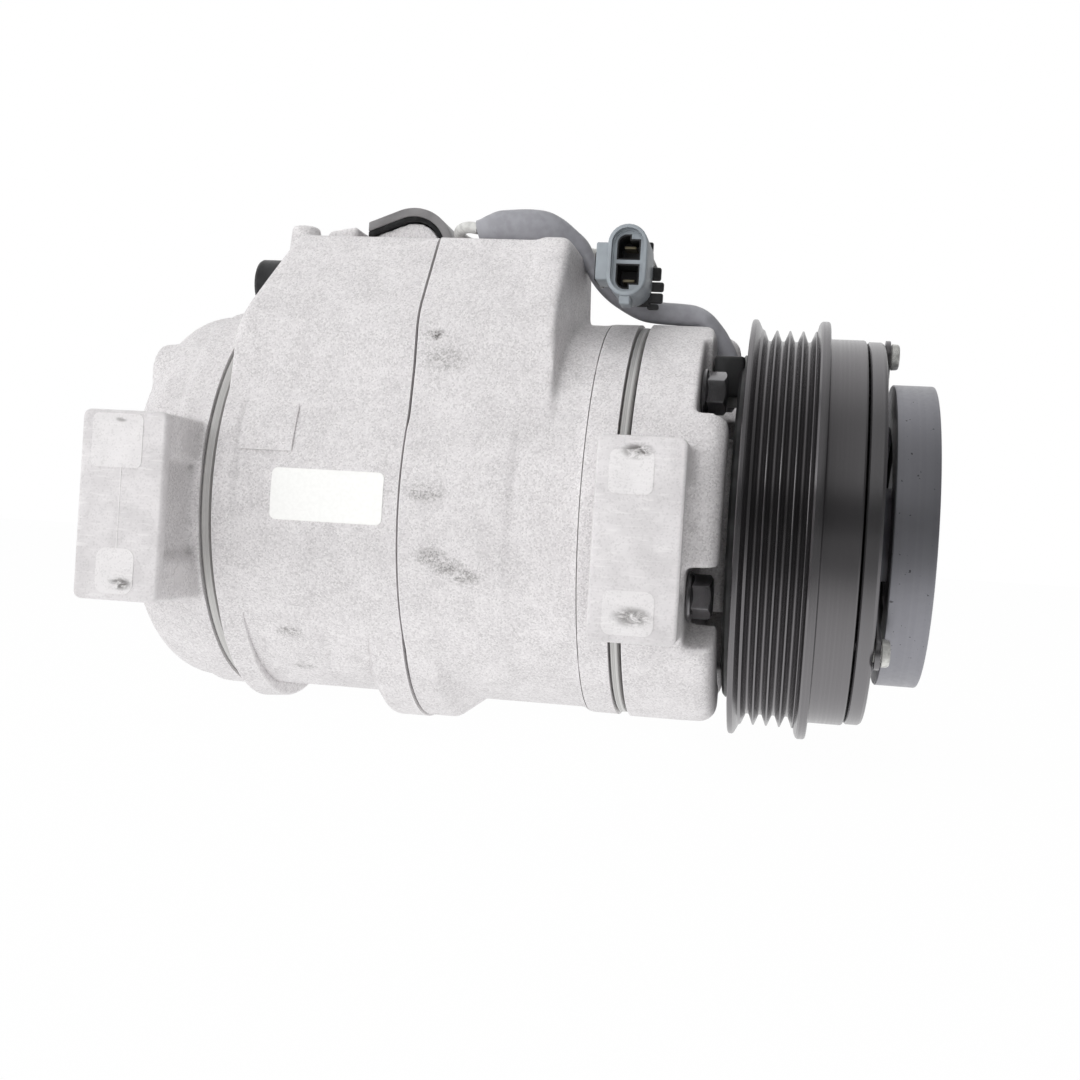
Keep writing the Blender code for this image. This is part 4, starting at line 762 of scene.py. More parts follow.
class COMPRESSOR_OT_rear_cylinder(bpy.types.Operator):
    """Casts the rear cylinder half with its port block, and sticks on the blank label"""
    bl_idname = "compressor.rear_cylinder"
    bl_label = "Rear cylinder"

    def execute(self, context):
        look = context.scene.compressor_castings
        x0, x1 = CYLINDERS[:2]
        barrel = turned([(x0 - 3, 0), (x0 - 3, 55.3), (x0 + 4.6, 55.3), (x0 + 6, 54), (x1 + 4, 54),
                         (x1 + 4, 0)], closed=False)
        panel = rounded(sector((x0 + 3, 49), (50, 54.6), 12.6, 40), 0.3, 2)
        swell = sector((x0 + 3, 55.2), (50, 54.7), -75, -8)
        pad = rod((37.5, -20, 66), (37.5, -20, 77.2), 4.8, 4.0)
        shelf = prism(((41.5, 66), (41.5, 77.6), (50.4, 79.4), (50.4, 66)), "Y", -14, 20)
        arch = port_arch(8.1, 51.3, 14)
        boss = prism([(arch[0][0], 66), *arch, (arch[-1][0], 66)], "Y", -4, 24)
        feet = [foot(((x0 - 2, 52.4), (35.4, 51.8)), 58.4),
                foot(((66, 42), (69.5, 46.5), (x1 + 4, 46.5)), 60.4)]
        forms = [barrel, port_block(x0 - 2, x1 + 4), pad, rounded(shelf, 0.8), boss, swell]
        seat = moved(rod((20, 0, 0), (48.3, 0, 0), 5.3, segments=32), REAR_PORT)
        cuts = [*cylinder_cuts(x0, x1), ("DIFFERENCE", seat)]
        cast("rear_cylinder_casting", forms, [], [panel, *feet], cuts, "rear_cylinder")
        self.label(look)
        return {"FINISHED"}

    def label(self, look):
        """Blank paper label, bent round the cylinder."""
        wide, high, corner, under = look.label_width / MM, look.label_height / MM, 1.6, 54.02
        x0, z0 = 44.4, -6.0
        bm = prism(round_cornered((x0, x0 + wide), (z0, z0 + high), corner), "Y", -0.16, 0)
        for i in range(1, 12):
            bmesh.ops.bisect_plane(bm, geom=[*bm.verts, *bm.edges, *bm.faces], plane_no=(0, 0, 1),
                                   plane_co=(0, 0, z0 + high * i / 12))
        for vert in bm.verts:
            vert.co.y -= math.sqrt(under ** 2 - vert.co.z ** 2)
        piece(outward(bm), "blank_label", "paper_label", "housing")


class COMPRESSOR_OT_front_cylinder(bpy.types.Operator):
    """Casts the front cylinder half with the end of the port block"""
    bl_idname = "compressor.front_cylinder"
    bl_label = "Front cylinder"

    def execute(self, context):
        x0, x1 = CYLINDERS[2:]
        barrel = turned([(x0 - 4, 0), (x0 - 4, 54), (124.4, 54), (125.2, 55.2), (x1 + 3, 55.3), (x1 + 3, 0)],
                        closed=False)
        corner = rounded(prism(((-44.2, 53.4), (-29.2, 74.5), (-14, 74.5), (-14, 60)), "X", 106, 114.6),
                         1.5, 3)
        web = sector((116, 124), (50, 54.8), 30, 150)
        panel = sector((x0 - 3, 106.8), (50, 54.7), -60, 22)
        line = turned([(125.3, 54.5), (125.3, 58), (125.6, 58), (125.6, 54.5)], 144)
        forms = [barrel, port_block(x0 - 4, 125), corner, web, panel]
        feet = [foot(((x0 - 4, 46), (86.5, 46), (94.5, 40)), 59.9)]
        cuts = [*cylinder_cuts(x0, x1), ("DIFFERENCE", line)]
        cast("front_cylinder_casting", forms, [], feet, cuts, "front_cylinder")
        return {"FINISHED"}


class COMPRESSOR_OT_front_housing(bpy.types.Operator):
    """Casts the front housing with its lug, bolt pockets and the nose that carries the clutch"""
    bl_idname = "compressor.front_housing"
    bl_label = "Front housing"

    def execute(self, context):
        look = context.scene.compressor_castings
        corner = arc((HOUSING_FRONT - 5, 50.5), 5.0, 90, 0, 8)
        body = turned([(126, 0), (126, 55.5), *corner, (HOUSING_FRONT, 22.6), (168, 22.6), (168, 19.85),
                       (193, 19.85), (193, 0)], closed=False)
        lug_x = (132.3, 151.7)
        face = (lug_x[0] - 0.7, lug_x[1] + 1.2)
        ends = (LUG_ENDS[0] - 1.2, LUG_ENDS[1])
        forms = [body, *lug(*face, -44, ends)]
        seats = together(*[rounded(rod(around(a, 47.5, BOLT_SEAT), around(a, 47.5, 174), 8.2, 9.0), 1.2)
                           for a in BOLT_ANGLES])
        reach = ((18, 15), (14, 14), (14, 14), (14, 14), (11.5, 12))
        mouths = together(*[
            sector((BOLT_SEAT, 174), (44, 60), math.degrees(a) - below, math.degrees(a) + above)
            for a, (below, above) in zip(BOLT_ANGLES, reach)])
        notch = prism([(154.4, 34), (172, 34), (172, 72), (149.6, 72), *arc((149.6, 50.7), 4.8, 90, 0, 6)],
                      "Y", -45, 8)
        hollow = turned([(153.6, 24.5), (153.6, 44.5), (175, 44.5), (175, 24.5)])
        behind = turned([(100, 0), (100, 56.2), (FRONT_FACE, 56.2), (FRONT_FACE, 0)], 128, closed=False)
        bore = turned([(120, 0), (120, 40.5), (150, 40.5), (150, 12.6), (176, 12.6), (176, 9.6), (205, 9.6),
                       (205, 0)], 72, closed=False)
        grooves = together(turned([(163.5, 21.4), (163.5, 30), (165.5, 30), (165.5, 21.4)], 72),
                           turned([(189.2, 18.4), (189.2, 30), (191, 30), (191, 18.4)], 72))
        cuts = [("DIFFERENCE", behind), ("DIFFERENCE", bore), ("DIFFERENCE", grooves),
                ("DIFFERENCE", bolt_rods(FRONT_FACE - 8, BOLT_SEAT + 5)), ("DIFFERENCE", lug_bore(*lug_x))]
        cast("front_housing_casting", forms, [seats, mouths, notch, hollow], [], cuts, "front_housing")
        proud = look.pad / MM
        pads = together(ejector_pad((134.9, 145.4), (4.9, 15.3), 1.8, proud),
                        ejector_pad((135.2, 147.4), (-28.0, -17.6), 2.2, proud), lug_face(*face, ends))
        piece(pads, "front_lug_pads", "polished_cast_pad", "housing")
        return {"FINISHED"}


class COMPRESSOR_OT_valve_plates(bpy.types.Operator):
    """Makes the two steel plates that show as bright bands in the seams"""
    bl_idname = "compressor.valve_plates"
    bl_label = "Valve plates"

    def execute(self, context):
        for name in ("rear_valve_plate", "front_valve_plate"):
            low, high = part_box(name)
            # The rim stands back from the cylinder's edge, which leaves a dark line beside the bright band.
            x0, x1 = low.x / MM, high.x / MM - 0.5
            rim = high.z / MM
            mid = (x0 + x1) / 2
            profile = [(x0, 12), (x0, rim - 0.2), (x0 + 0.3, rim + 0.4), (mid, rim + 0.5),
                       (x1 - 0.3, rim + 0.4), (x1, rim - 0.2), (x1, 12)]
            ports = ring_of_rods(PISTON_ANGLES, 30, (x0 - 5, x1 + 5), 3)
            cuts = [("DIFFERENCE", ports), ("DIFFERENCE", bolt_rods(x0 - 5, x1 + 5))]
            piece(worked(turned(profile, 144), cuts), f"{name}_ground", "ground_plate_steel", "housing",
                  [name])
        return {"FINISHED"}


def hex_head(x0, x1, across):
    """Hexagon head with its chamfered front."""
    hexagon = rod((x0, 0, 0), (x1, 0, 0), across / math.sqrt(3), segments=6)
    cone = turned([(x0 - 1, 0), (x0 - 1, across), (x1 - 1.2, across / math.sqrt(3) + 0.5),
                   (x1, across * 0.46), (x1, 0)], 48, closed=False)
    return worked(rounded(hexagon, 0.25, 2), [("INTERSECT", cone)])


class COMPRESSOR_OT_through_bolts(bpy.types.Operator):
    """Makes the five black flange bolts"""
    bl_idname = "compressor.through_bolts"
    bl_label = "Through bolts"

    def execute(self, context):
        seat = BOLT_SEAT + 0.3
        for i, angle in enumerate(BOLT_ANGLES):
            flange = turned([(seat, 0), (seat, 6.3), (seat + 0.5, 6.4), (seat + 1.0, 6.2), (seat + 1.7, 5.0),
                             (seat + 1.7, 0)], 48, closed=False)
            shank = rounded(rod((10.5, 0, 0), (seat + 0.5, 0, 0), 3.0, segments=24), 0.4)
            head = hex_head(seat + 0.8, seat + 6.4, 10.0)
            bm = moved(together(shank, flange, head), Matrix.Translation(around(angle, BOLT_CIRCLE)))
            piece(bm, f"flange_bolt_{i + 1}", "electro_coated_steel", "housing",
                  [f"through_bolt_{i + 1}"], 25)
        return {"FINISHED"}


class COMPRESSOR_OT_coil(bpy.types.Operator):
    """Makes the coil's magnet shell with its lead outlet"""
    bl_idname = "compressor.coil"
    bl_label = "Field coil"

    def execute(self, context):
        shell = turned([(161.9, 23.4), (161.9, 47.2), (162.6, 48), (183.9, 48), (184.5, 47.4),
                        (184.5, 45.6), (165, 45.6), (165, 38.4), (184.5, 38.4), (184.5, 36), (163.4, 36),
                        (163.4, 23.4)], 144)
        outlet = rounded(block((154.8, -24, 34), (163, 6.5, 45)), 1.0)
        # The shell is black, and the moulded black makes it darker still as painted shade in the gap behind
        # the pulley.
        piece(together(shell, outlet), "coil_shell", "moulded_black_plastic", "housing",
              ["field_coil"])
        return {"FINISHED"}


class COMPRESSOR_OT_pulley(bpy.types.Operator):
    """Turns the ribbed belt pulley"""
    bl_idname = "compressor.pulley"
    bl_label = "Pulley"

    def execute(self, context):
        look = context.scene.compressor_clutch
        flange, crest, root, pitch, drum = (
            v / MM for v in (look.flange, look.crest, look.root, look.pitch, look.drum))
        ribs = []
        for i in range(4):
            middle = 168.95 + pitch * i
            ribs += [(middle - 0.45, root), (middle - 0.2, root - 0.12), (middle + 0.2, root - 0.12),
                     (middle + 0.45, root)]
            tip = middle + pitch / 2
            ribs += [(tip - 0.22, crest - 0.1), (tip, crest), (tip + 0.22, crest - 0.1)]
        rear = [(164, 49.4), (164, flange - 0.5), (164.2, flange - 0.12), (164.5, flange), (165.1, flange),
                (165.5, flange - 0.2), (165.8, flange - 0.7), (166.7, crest + 0.3), (167.1, crest),
                (167.4, crest - 0.2)]
        front = [(182.0, flange - 1.2), (182.4, flange - 0.4), (182.9, flange), (184.3, flange),
                 (184.8, flange - 0.2), (185.0, flange - 0.7), (185.0, drum + 0.8), (185.3, drum + 0.2),
                 (185.8, drum), (194.2, drum), (194.6, drum - 0.2), (194.8, drum - 0.6)]
        inner = [(194.8, 29.3), (194.5, 29), (189.3, 29), (189.3, 31), (167.4, 31), (167, 31.4), (167, 34.2),
                 (167.4, 34.6), (186.3, 34.6), (186.3, 49.2), (164.3, 49.2)]
        piece(turned(rear + ribs + front + inner, look.steps), "belt_pulley", "electro_coated_steel",
              "pulley", ["pulley"], 22)
        return {"FINISHED"}


class COMPRESSOR_OT_armature(bpy.types.Operator):
    """Makes the clutch's friction plate with its leaf springs and rivets"""
    bl_idname = "compressor.armature"
    bl_label = "Armature"

    def execute(self, context):
        look = context.scene.compressor_clutch
        x0, x1, rim = 195.3, 199.7, 52.9
        profile = [(x0, 27), (x0, rim - 0.4), (x0 + 0.4, rim), (x1 - 0.9, rim), (x1 - 0.2, rim - 0.5),
                   (x1, rim - 1.0), (x1, 27)]
        angles = [math.radians(82 + 120 * i) for i in range(3)]
        holes = ring_of_rods(angles, RIVET_CIRCLE, (x0 - 5, x1 + 5), 2.8)
        disc = worked(turned(profile, look.steps), [("DIFFERENCE", holes)])
        piece(disc, "friction_plate", "electro_coated_steel", "armature",
              ["armature_plate"], 22)
        for i, angle in enumerate(angles):
            tip = [(-v, u) for u, v in arc((RIVET_CIRCLE, 0), 4.4, -90, 90, 14)]
            outline = [*tip, (-4.4, 43), (-10, 32), (6, 32), (4.4, 43)]
            strip = prism([(-r, s) for s, r in outline], "X", 200.0, 201.4)
            hole = rod((190, -RIVET_CIRCLE, 0), (210, -RIVET_CIRCLE, 0), 2.8, segments=24)
            strip = worked(rounded(strip, 0.2, 2, 50), [("DIFFERENCE", hole)])
            turn = Matrix.Rotation(-angle, 4, "X")
            piece(moved(strip, turn), f"leaf_{i + 1}", "electro_coated_steel", "armature",
                  [f"leaf_spring_{i + 1}"])
            stud = turned([(x0 + 0.3, 0), (x0 + 0.3, 2.5), (201.7, 2.5), (201.7, 3.4), (201.9, 3.6),
                           (203.2, 3.5), (203.7, 3.2), (203.9, 2.6), (203.9, 1.4), (203.4, 0.9),
                           (203.4, 0)], 40, closed=False)
            place = Matrix.Translation(around(angle, RIVET_CIRCLE))
            piece(moved(stud, place), f"drum_rivet_{i + 1}", "zinc_plated_steel", "armature",
                  [f"rivet_{i + 1}"], 28)
        return {"FINISHED"}


class COMPRESSOR_OT_hub(bpy.types.Operator):
    """Makes the damped hub: drum, bonded rubber, boss and bolt"""
    bl_idname = "compressor.hub"
    bl_label = "Hub"

    def execute(self, context):
        look = context.scene.compressor_clutch
        rim = look.hub / MM
        steps = look.steps
        drum = turned([(202.7, 30), (202.7, rim - 0.3), (203.0, rim), (213.3, rim), (213.65, rim - 0.15),
                       (213.8, rim - 0.5), (213.8, 38.2), (213.5, 37.7), (213, 37.5), (204.6, 37.5),
                       (204.6, 30)], steps)
        piece(drum, "damper_drum", "grey_epoxy_coat", "shaft", ["hub_drum"], 25)
        rubber = turned([(204.9, 22.3), (204.9, 37.2), (210.4, 37.2), (210.6, 36.4), (209.9, 34),
                         (209.6, 30.5), (210.1, 27), (211.6, 24.2), (212, 22.9), (212, 22.3)], steps)
        piece(rubber, "bonded_rubber", "nitrile_rubber", "shaft", ["damper_rubber"])
        boss = turned([(193.6, 7.3), (193.6, 12.6), (194, 13), (204.9, 13), (204.9, 22), (212.1, 22),
                       (212.6, 21.5), (212.6, 10.2), (212, 9.4), (206.3, 9.4), (206.3, 3.3), (203.3, 3.3),
                       (203.3, 7.3)], 96)
        holes = ring_of_rods([2 * math.pi * i / 3 for i in range(3)], 16, (209, 220), 2.6)
        piece(worked(boss, [("DIFFERENCE", holes)]), "splined_boss", "grey_epoxy_coat", "shaft",
              ["hub_boss"], 25)
        flange = turned([(206.6, 0), (206.6, 7.3), (207, 7.4), (207.4, 7.2), (208.2, 5.6), (208.2, 0)], 48,
                        closed=False)
        shank = rod((186, 0, 0), (207, 0, 0), 3.0, segments=24)
        piece(together(shank, flange, hex_head(207.2, 212.6, 10.0)), "hub_screw", "electro_coated_steel",
              "shaft", ["hub_bolt"], 25)
        return {"FINISHED"}


def oval(width, height):
    """Upright oval outline about the connector's middle."""
    radius = width / 2
    rise = height / 2 - radius
    points = arc((0, rise), radius, 0, 180, 14) + arc((0, -rise), radius, 180, 360, 14)
    return [(CONNECTOR[0] + u, CONNECTOR[1] + v) for u, v in points]


class COMPRESSOR_OT_connector(bpy.types.Operator):
    """Moulds the two-way connector, its blades and its clip"""
    bl_idname = "compressor.connector"
    bl_label = "Connector"

    def execute(self, context):
        cx, cz = CONNECTOR
        y0, y1 = -38.0, -20.0
        shell = rounded(prism(oval(10.4, 18.8), "Y", y0, y1), 0.5, 3, 60)
        collar = rounded(prism(oval(8.6, 16.6), "Y", y1 - 4, y1), 0.3)
        lock = rounded(block((cx - 8.3, y0 + 1, cz - 5.2), (cx - 4.2, y0 + 12, cz + 4.6)), 0.5)
        latch = rounded(block((cx - 1.6, y0 + 1, cz - 11.4), (cx + 1.2, y0 + 8, cz - 7.5)), 0.4)
        cells = together(self.cell(1), self.cell(-1))
        slots = together(*[block((cx - 1.9, -31.8, z - 0.7), (cx + 1.9, -21.2, z + 0.7))
                           for z in (cz + 4.4, cz - 4.4)])
        cuts = [("UNION", collar), ("UNION", lock), ("UNION", latch),
                ("DIFFERENCE", prism(oval(8.4, 16.8), "Y", -45, -35.6)),
                ("DIFFERENCE", prism(oval(7.8, 16.2), "Y", -45, -34.9)), ("DIFFERENCE", cells),
                ("DIFFERENCE", slots)]
        piece(worked(shell, cuts), "connector_shell", "moulded_nylon", "housing",
              ["connector_housing"], 30)
        for i, z in enumerate((cz + 4.4, cz - 4.4)):
            blade = rounded(block((cx - 1.6, -31.5, z - 0.4), (cx + 1.6, -21.5, z + 0.4)), 0.25)
            piece(blade, f"blade_{i + 1}", "tinned_brass", "housing", [f"terminal_{i + 1}"])
        # Black linings inside the cells are painted shade for their dark insides.
        for i, side in enumerate((1, -1)):
            painted_cell_shade = worked(self.cell(side, 0.05, -34.8, -25.2),
                            [("DIFFERENCE", self.cell(side, 0.4, -45, -26))])
            piece(painted_cell_shade, f"cell_painted_shade_{i + 1}", "moulded_black_plastic", "housing")
        self.clip(cx, cz)
        return {"FINISHED"}

    def cell(self, side, inset=0.0, y0=-45, y1=-25):
        """Socket of one blade: round towards the outer corner, square at the rib."""
        cx, cz = CONNECTOR
        right, low, step, top = 3.1 - inset, 0.5 + inset, 6.0 - inset, 7.2 - inset
        corner = arc((-0.6, 4.7), 2.5 - inset, 90, 180, 8)
        outline = [(right, low), (right, step), (0.6 - inset, step), (0.6 - inset, top), *corner,
                   (-right, low)]
        return prism([(cx + u, cz + side * v) for u, v in outline], "Y", y0, y1)

    def clip(self, cx, cz):
        """Black strap from the block's top to a ridged clip behind the connector."""
        foot_z = BLOCK_TOP + 0.3
        strap = rounded(block((98, 5.5, foot_z), (cx + 3, 13.5, foot_z + 1.2)), 0.5)
        arm = rounded(block((cx - 2, -19.7, foot_z), (cx + 3, 14.5, foot_z + 1.6)), 0.5)
        grip = rounded(block((cx - 1, -19.7, cz - 9), (cx + 4.8, -17.9, foot_z + 1.6)), 0.5)
        tab = rounded(block((cx - 9.5, -30, cz - 4.2), (cx - 8.2, -18, cz + 3.4)), 0.3)
        teeth = ((-9.8, -8.2, 7.2), (-8, -5.2, 8.2), (-4.8, -2.2, 8.3), (-1.8, 1.8, 7.4))
        ridges = [rounded(block((cx + 4, -19.7, cz + low), (cx + reach, -17.9, cz + high)), 0.6)
                  for low, high, reach in teeth]
        screw = rounded(rod((102.5, 9.5, foot_z + 1), (102.5, 9.5, foot_z + 3.2), 3.6, 3.2), 0.4)
        piece(together(strap, arm, grip, tab, *ridges, screw), "connector_clip", "moulded_black_plastic",
              "housing", ["connector_bracket"])


def smooth_route(points, spacing):
    """Even points on a smooth curve through a lead's route."""
    knots = [Vector(p) for p in points]
    knots = [2 * knots[0] - knots[1], *knots, 2 * knots[-1] - knots[-2]]
    path = []
    for p0, p1, p2, p3 in zip(knots, knots[1:], knots[2:], knots[3:]):
        steps = max(1, round((p2 - p1).length / spacing))
        for i in range(steps):
            t = i / steps
            path.append(0.5 * (2 * p1 + (p2 - p0) * t + (2 * p0 - 5 * p1 + 4 * p2 - p3) * t ** 2
                               + (3 * p1 - p0 - 3 * p2 + p3) * t ** 3))
    return [*path, knots[-2]]


def swept(path, sizes, segments=24):
    """Tube along a path; sizes give its width and thickness at shares of the way."""
    stations = []
    for i, spot in enumerate(path):
        ahead = (path[min(i + 1, len(path) - 1)] - path[max(i - 1, 0)]).normalized()
        side = ahead.cross(Vector((0, -1, 0))).normalized()
        depth = side.cross(ahead).normalized()
        share = i / (len(path) - 1)
        for (s0, *size0), (s1, *size1) in zip(sizes, sizes[1:]):
            if s0 <= share <= s1:
                t = (share - s0) / (s1 - s0)
                t = t * t * (3 - 2 * t)
                tall, deep = ((1 - t) * a + t * b for a, b in zip(size0, size1))
        columns = [side * tall / 2, depth * deep / 2, ahead, spot]
        stations.append(Matrix([[c[row] for c in columns] for row in range(3)] + [[0, 0, 0, 1]]))
    bm = bmesh.new()
    bmesh.ops.create_circle(bm, cap_ends=True, radius=1, segments=segments, matrix=stations[0])
    edges = list(bm.edges)
    for before, after in zip(stations, stations[1:]):
        made = bmesh.ops.extrude_edge_only(bm, edges=edges)["geom"]
        ring = {g for g in made if isinstance(g, bmesh.types.BMVert)}
        edges = [g for g in made if isinstance(g, bmesh.types.BMEdge) and set(g.verts) <= ring]
        bmesh.ops.transform(bm, matrix=after @ before.inverted(), verts=list(ring))
    bmesh.ops.holes_fill(bm, edges=edges)
    bmesh.ops.recalc_face_normals(bm, faces=bm.faces)
    return bm


class COMPRESSOR_OT_leads(bpy.types.Operator):
    """Lays the grey sleeve from the coil to the block and the pale lead on to the connector"""
    bl_idname = "compressor.leads"
    bl_label = "Leads"

    def execute(self, context):
        look = context.scene.compressor_leads
        wide, lead = look.sleeve / MM, look.lead / MM
        sizes = [(0, 6.4, wide), (0.1, 6, wide), (0.17, 5.4, 8.2), (0.23, 6.2, wide), (0.34, 6.2, wide),
                 (0.45, 4.4, 7.8), (0.58, 3.9, 7.8), (0.68, 5.8, 7.4), (0.8, 10, wide), (0.92, 9.4, 6.8),
                 (1, 6.4, 6.2)]
        bm = swept(smooth_route(SLEEVE_ROUTE, 0.8), sizes)
        piece(bm, "vinyl_sleeve", "soft_vinyl", "housing", ["coil_lead_sleeve"], 60)
        bm = swept(smooth_route(LEAD_ROUTE, 0.8), [(0, lead, lead), (1, lead, lead)], 18)
        piece(bm, "inner_lead", "pale_lead_vinyl", "housing", ["connector_lead"], 60)
        return {"FINISHED"}


class COMPRESSOR_OT_port_caps(bpy.types.Operator):
    """Moulds the arched cap on the top port and the plug in the rear port"""
    bl_idname = "compressor.port_caps"
    bl_label = "Port caps"

    def execute(self, context):
        outer, middle, inner = (port_arch(radius, 51.0, 24) for radius in (12.1, 9.6, 8.3))
        cap = rounded(prism([*outer, *reversed(middle)], "Y", -5.5, 24.5), 0.3, 3, 50)
        piece(cap, "arched_port_cap", "satin_cap_plastic", "housing", ["top_port_cap"], 25)
        # The black band under the arch is painted shade for the cap's dark underside.
        painted_shade_band = rounded(prism([*middle, *reversed(inner)], "Y", -5.2, 24.2), 0.2, 2, 50)
        piece(painted_shade_band, "cap_painted_shade", "nitrile_rubber", "housing", crease=25)
        plug = turned([(48, 0), (48, 4.6), (47.6, 5), (30.2, 5), (30.2, 6.9), (29.9, 7.2), (20.6, 7.2),
                       (19.9, 6.8), (19.6, 6.2), (19.6, 3), (20.4, 2.6), (20.4, 0)], 48, closed=False)
        piece(moved(plug, REAR_PORT), "rear_plug", "moulded_black_plastic", "housing",
              ["rear_port_plug"], 28)
        return {"FINISHED"}


class COMPRESSOR_OT_inner_pieces(bpy.types.Operator):
    """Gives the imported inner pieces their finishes"""
    bl_idname = "compressor.inner_pieces"
    bl_label = "Inner pieces"

    def execute(self, context):
        finishes = {"bearing_steel": "ground_bearing_steel", "piston_aluminium": "coated_piston",
                    "copper_winding": "enamelled_copper", "bright_steel": "zinc_plated_steel",
                    "black_rubber": "nitrile_rubber", "black_steel": "electro_coated_steel",
                    "grey_steel": "grey_epoxy_coat", "die_cast_aluminium": "as_cast_aluminium",
                    "plate_steel": "ground_plate_steel", "tinned_brass": "tinned_brass",
                    "grey_nylon": "moulded_nylon", "grey_vinyl": "soft_vinyl",
                    "black_plastic": "moulded_black_plastic"}
        for part in frame["record"]["subparts"]:
            mesh = frame["nodes"][part["node"]].data
            mesh.materials.clear()
            mesh.materials.append(finish(finishes[part["material_slot"]]))
        return {"FINISHED"}


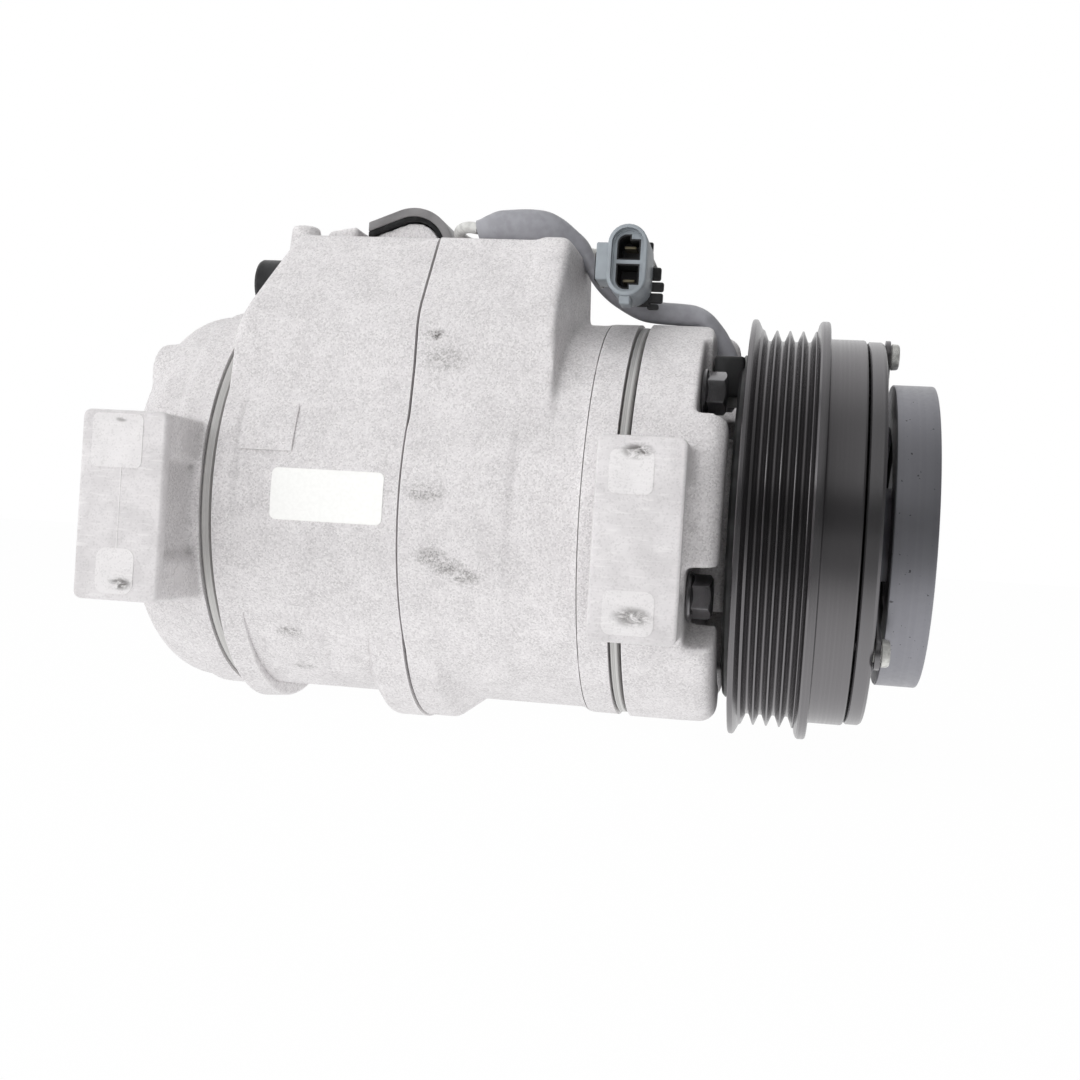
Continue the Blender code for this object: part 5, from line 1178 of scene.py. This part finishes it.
class COMPRESSOR_OT_studio(bpy.types.Operator):
    """Sets the floor, the soft light and the camera"""
    bl_idname = "compressor.studio"
    bl_label = "Studio"

    def execute(self, context):
        look = context.scene.compressor_studio
        self.floor(look)
        self.room(context, look)
        key = self.lamp("overhead_softbox", (0.05, -0.25, 0.95), 1.2, look.key)
        self.lamp("side_softbox", (-0.8, -0.6, 0.3), 0.8, 0.4 * look.key)
        fill = self.lamp("front_fill", (0.02, -1.0, 0.02), 0.9, look.fill)
        # Both light the castings but leave no highlight of their own on the black pieces.
        key.visible_glossy = fill.visible_glossy = False
        camera = bpy.data.cameras.new("photo_camera")
        camera.lens = look.lens
        camera.sensor_width = 36.0
        camera.clip_start = 0.01
        obj = bpy.data.objects.new("photo_camera", camera)
        context.scene.collection.objects.link(obj)
        right = Vector((0.98341725, 0.17039887, 0.06208648))
        down = Vector((0.06174824, 0.00728921, -0.99806514))
        ahead = Vector((-0.17052173, 0.98534821, -0.00335349))
        turn = Matrix((right, -down, -ahead)).transposed().to_4x4()
        place = (0.175702, -0.399434, -0.005948)
        obj.matrix_world = Matrix.Translation(place) @ turn
        context.scene.camera = obj
        context.scene.view_settings.view_transform = "Standard"
        return {"FINISHED"}

    def floor(self, look):
        """Pale floor under the lowest foot: white to the camera, with the compressor's soft shadow."""
        bm = bmesh.new()
        bmesh.ops.create_grid(bm, x_segments=1, y_segments=1, size=4)
        bmesh.ops.translate(bm, vec=(0, 0, CAD_BOX[0].z - 0.0003), verts=bm.verts)
        mesh = bpy.data.meshes.new("floor")
        bm.to_mesh(mesh)
        bm.free()
        material = bpy.data.materials.new("pale_floor")
        material.use_nodes = True
        tree = material.node_tree
        out = tree.nodes["Material Output"]
        matte = tree.nodes["Principled BSDF"]
        matte.inputs["Base Color"].default_value = (*look.floor, 1)
        matte.inputs["Roughness"].default_value = 0.6
        clear, shine = self.rays(tree)
        # The table glows under the compressor and fades out to its right.
        # To gloss, it fades towards the camera.
        along = add(tree, "ShaderNodeSeparateXYZ", (add(tree, "ShaderNodeTexCoord").outputs["Object"],))
        fades = (("X", 0.14, 0.36, look.table, 0.25), ("Y", -0.19, -0.015, 0.2, 1.0))
        lit, near = (add(tree, RANGE, (along.outputs[axis], *limits), **EASED).outputs["Result"]
                     for axis, *limits in fades)
        strength = add(tree, "ShaderNodeMix", {0: shine, 2: 1.0, 3: near}).outputs[0]
        glow = add(tree, "ShaderNodeEmission",
                   {"Color": (1, 1, 1, 1), "Strength": strength}).outputs["Emission"]
        unseen = add(tree, "ShaderNodeMix", {0: shine, 2: lit, 3: 1.0}).outputs[0]
        share = add(tree, "ShaderNodeMix", {0: clear, 2: unseen, 3: 0.985}).outputs[0]
        mixed = add(tree, "ShaderNodeMixShader", (share, matte.outputs["BSDF"], glow)).outputs["Shader"]
        tree.links.new(mixed, out.inputs["Surface"])
        mesh.materials.append(material)
        obj = bpy.data.objects.new("floor", mesh)
        bpy.context.scene.collection.objects.link(obj)

    def rays(self, tree):
        """One for rays of the camera and through glass, and one for rays of gloss."""
        path = add(tree, "ShaderNodeLightPath").outputs
        seen = (path["Is Camera Ray"], path["Is Transmission Ray"])
        clear = add(tree, "ShaderNodeMath", seen, operation="MAXIMUM").outputs["Value"]
        return clear, path["Is Glossy Ray"]

    def room(self, context, look):
        world = bpy.data.worlds.new("white_studio")
        world.use_nodes = True
        tree = world.node_tree
        light = tree.nodes["Background"]
        light.inputs["Color"].default_value = (1, 1, 1, 1)
        # The room is brightest on the left, darker to the right, and dim behind the camera.
        way = add(tree, "ShaderNodeSeparateXYZ", (add(tree, "ShaderNodeTexCoord").outputs["Generated"],))
        # Gloss sees a dark room in front, which brightens over the top to the white wall at the back.
        fades = (("X", -0.9, 0.8, 1.05, 0.06), ("Y", -1.05, 0.8, 0.05, 1.0), ("Z", 0.2, 0.5, 0.0, 0.35),
                 ("X", 0.0, 0.9, 1.0, 0.3))
        right, wall, ceiling, side = (
            add(tree, RANGE, (way.outputs[axis], *limits), **EASED).outputs["Result"]
            for axis, *limits in fades)
        dark = add(tree, "ShaderNodeMath", (wall, ceiling), operation="MAXIMUM").outputs["Value"]
        gloss = add(tree, "ShaderNodeMath", (dark, side), operation="MULTIPLY").outputs["Value"]
        clear, shine = self.rays(tree)
        soft = add(tree, "ShaderNodeMath", (right, look.room), operation="MULTIPLY").outputs["Value"]
        metal = add(tree, "ShaderNodeMix", {0: shine, 2: soft, 3: gloss}).outputs[0]
        strength = add(tree, "ShaderNodeMix", {0: clear, 2: metal, 3: 1.0}).outputs[0]
        tree.links.new(strength, light.inputs["Strength"])
        context.scene.world = world

    def lamp(self, name, place, size, power):
        """Round softbox that faces the compressor's middle."""
        light = bpy.data.lights.new(name, "AREA")
        light.shape = "DISK"
        light.size = size
        light.energy = power
        obj = bpy.data.objects.new(name, light)
        aim = Vector((0.1, 0, 0)) - Vector(place)
        obj.matrix_world = Matrix.Translation(place) @ aim.to_track_quat("-Z", "Y").to_matrix().to_4x4()
        bpy.context.scene.collection.objects.link(obj)
        return obj


STEPS = (COMPRESSOR_OT_inner_pieces, COMPRESSOR_OT_rear_cover, COMPRESSOR_OT_rear_cylinder,
         COMPRESSOR_OT_front_cylinder, COMPRESSOR_OT_front_housing, COMPRESSOR_OT_valve_plates,
         COMPRESSOR_OT_through_bolts, COMPRESSOR_OT_coil, COMPRESSOR_OT_pulley, COMPRESSOR_OT_armature,
         COMPRESSOR_OT_hub, COMPRESSOR_OT_connector, COMPRESSOR_OT_leads, COMPRESSOR_OT_port_caps,
         COMPRESSOR_OT_studio)


class COMPRESSOR_PT_sidebar(bpy.types.Panel):
    """Lists the compressor's pieces"""
    bl_idname = "COMPRESSOR_PT_sidebar"
    bl_label = "Compressor"
    bl_space_type = "VIEW_3D"
    bl_region_type = "UI"
    bl_category = "Compressor"

    def draw(self, context):
        for step in STEPS:
            self.layout.operator(step.bl_idname)


GROUPS = {"compressor_castings": CastingSettings, "compressor_clutch": ClutchSettings,
          "compressor_leads": LeadSettings, "compressor_studio": StudioSettings}
CLASSES = (*GROUPS.values(), *STEPS, COMPRESSOR_PT_sidebar)


def register():
    for cls in CLASSES:
        bpy.utils.register_class(cls)
    for name, group in GROUPS.items():
        setattr(bpy.types.Scene, name, PointerProperty(type=group))


def unregister():
    for name in GROUPS:
        delattr(bpy.types.Scene, name)
    for cls in reversed(CLASSES):
        bpy.utils.unregister_class(cls)


def main():
    register()
    for step in STEPS:
        getattr(bpy.ops.compressor, step.bl_idname.split(".")[1])()


if __name__ == "__main__":
    main()
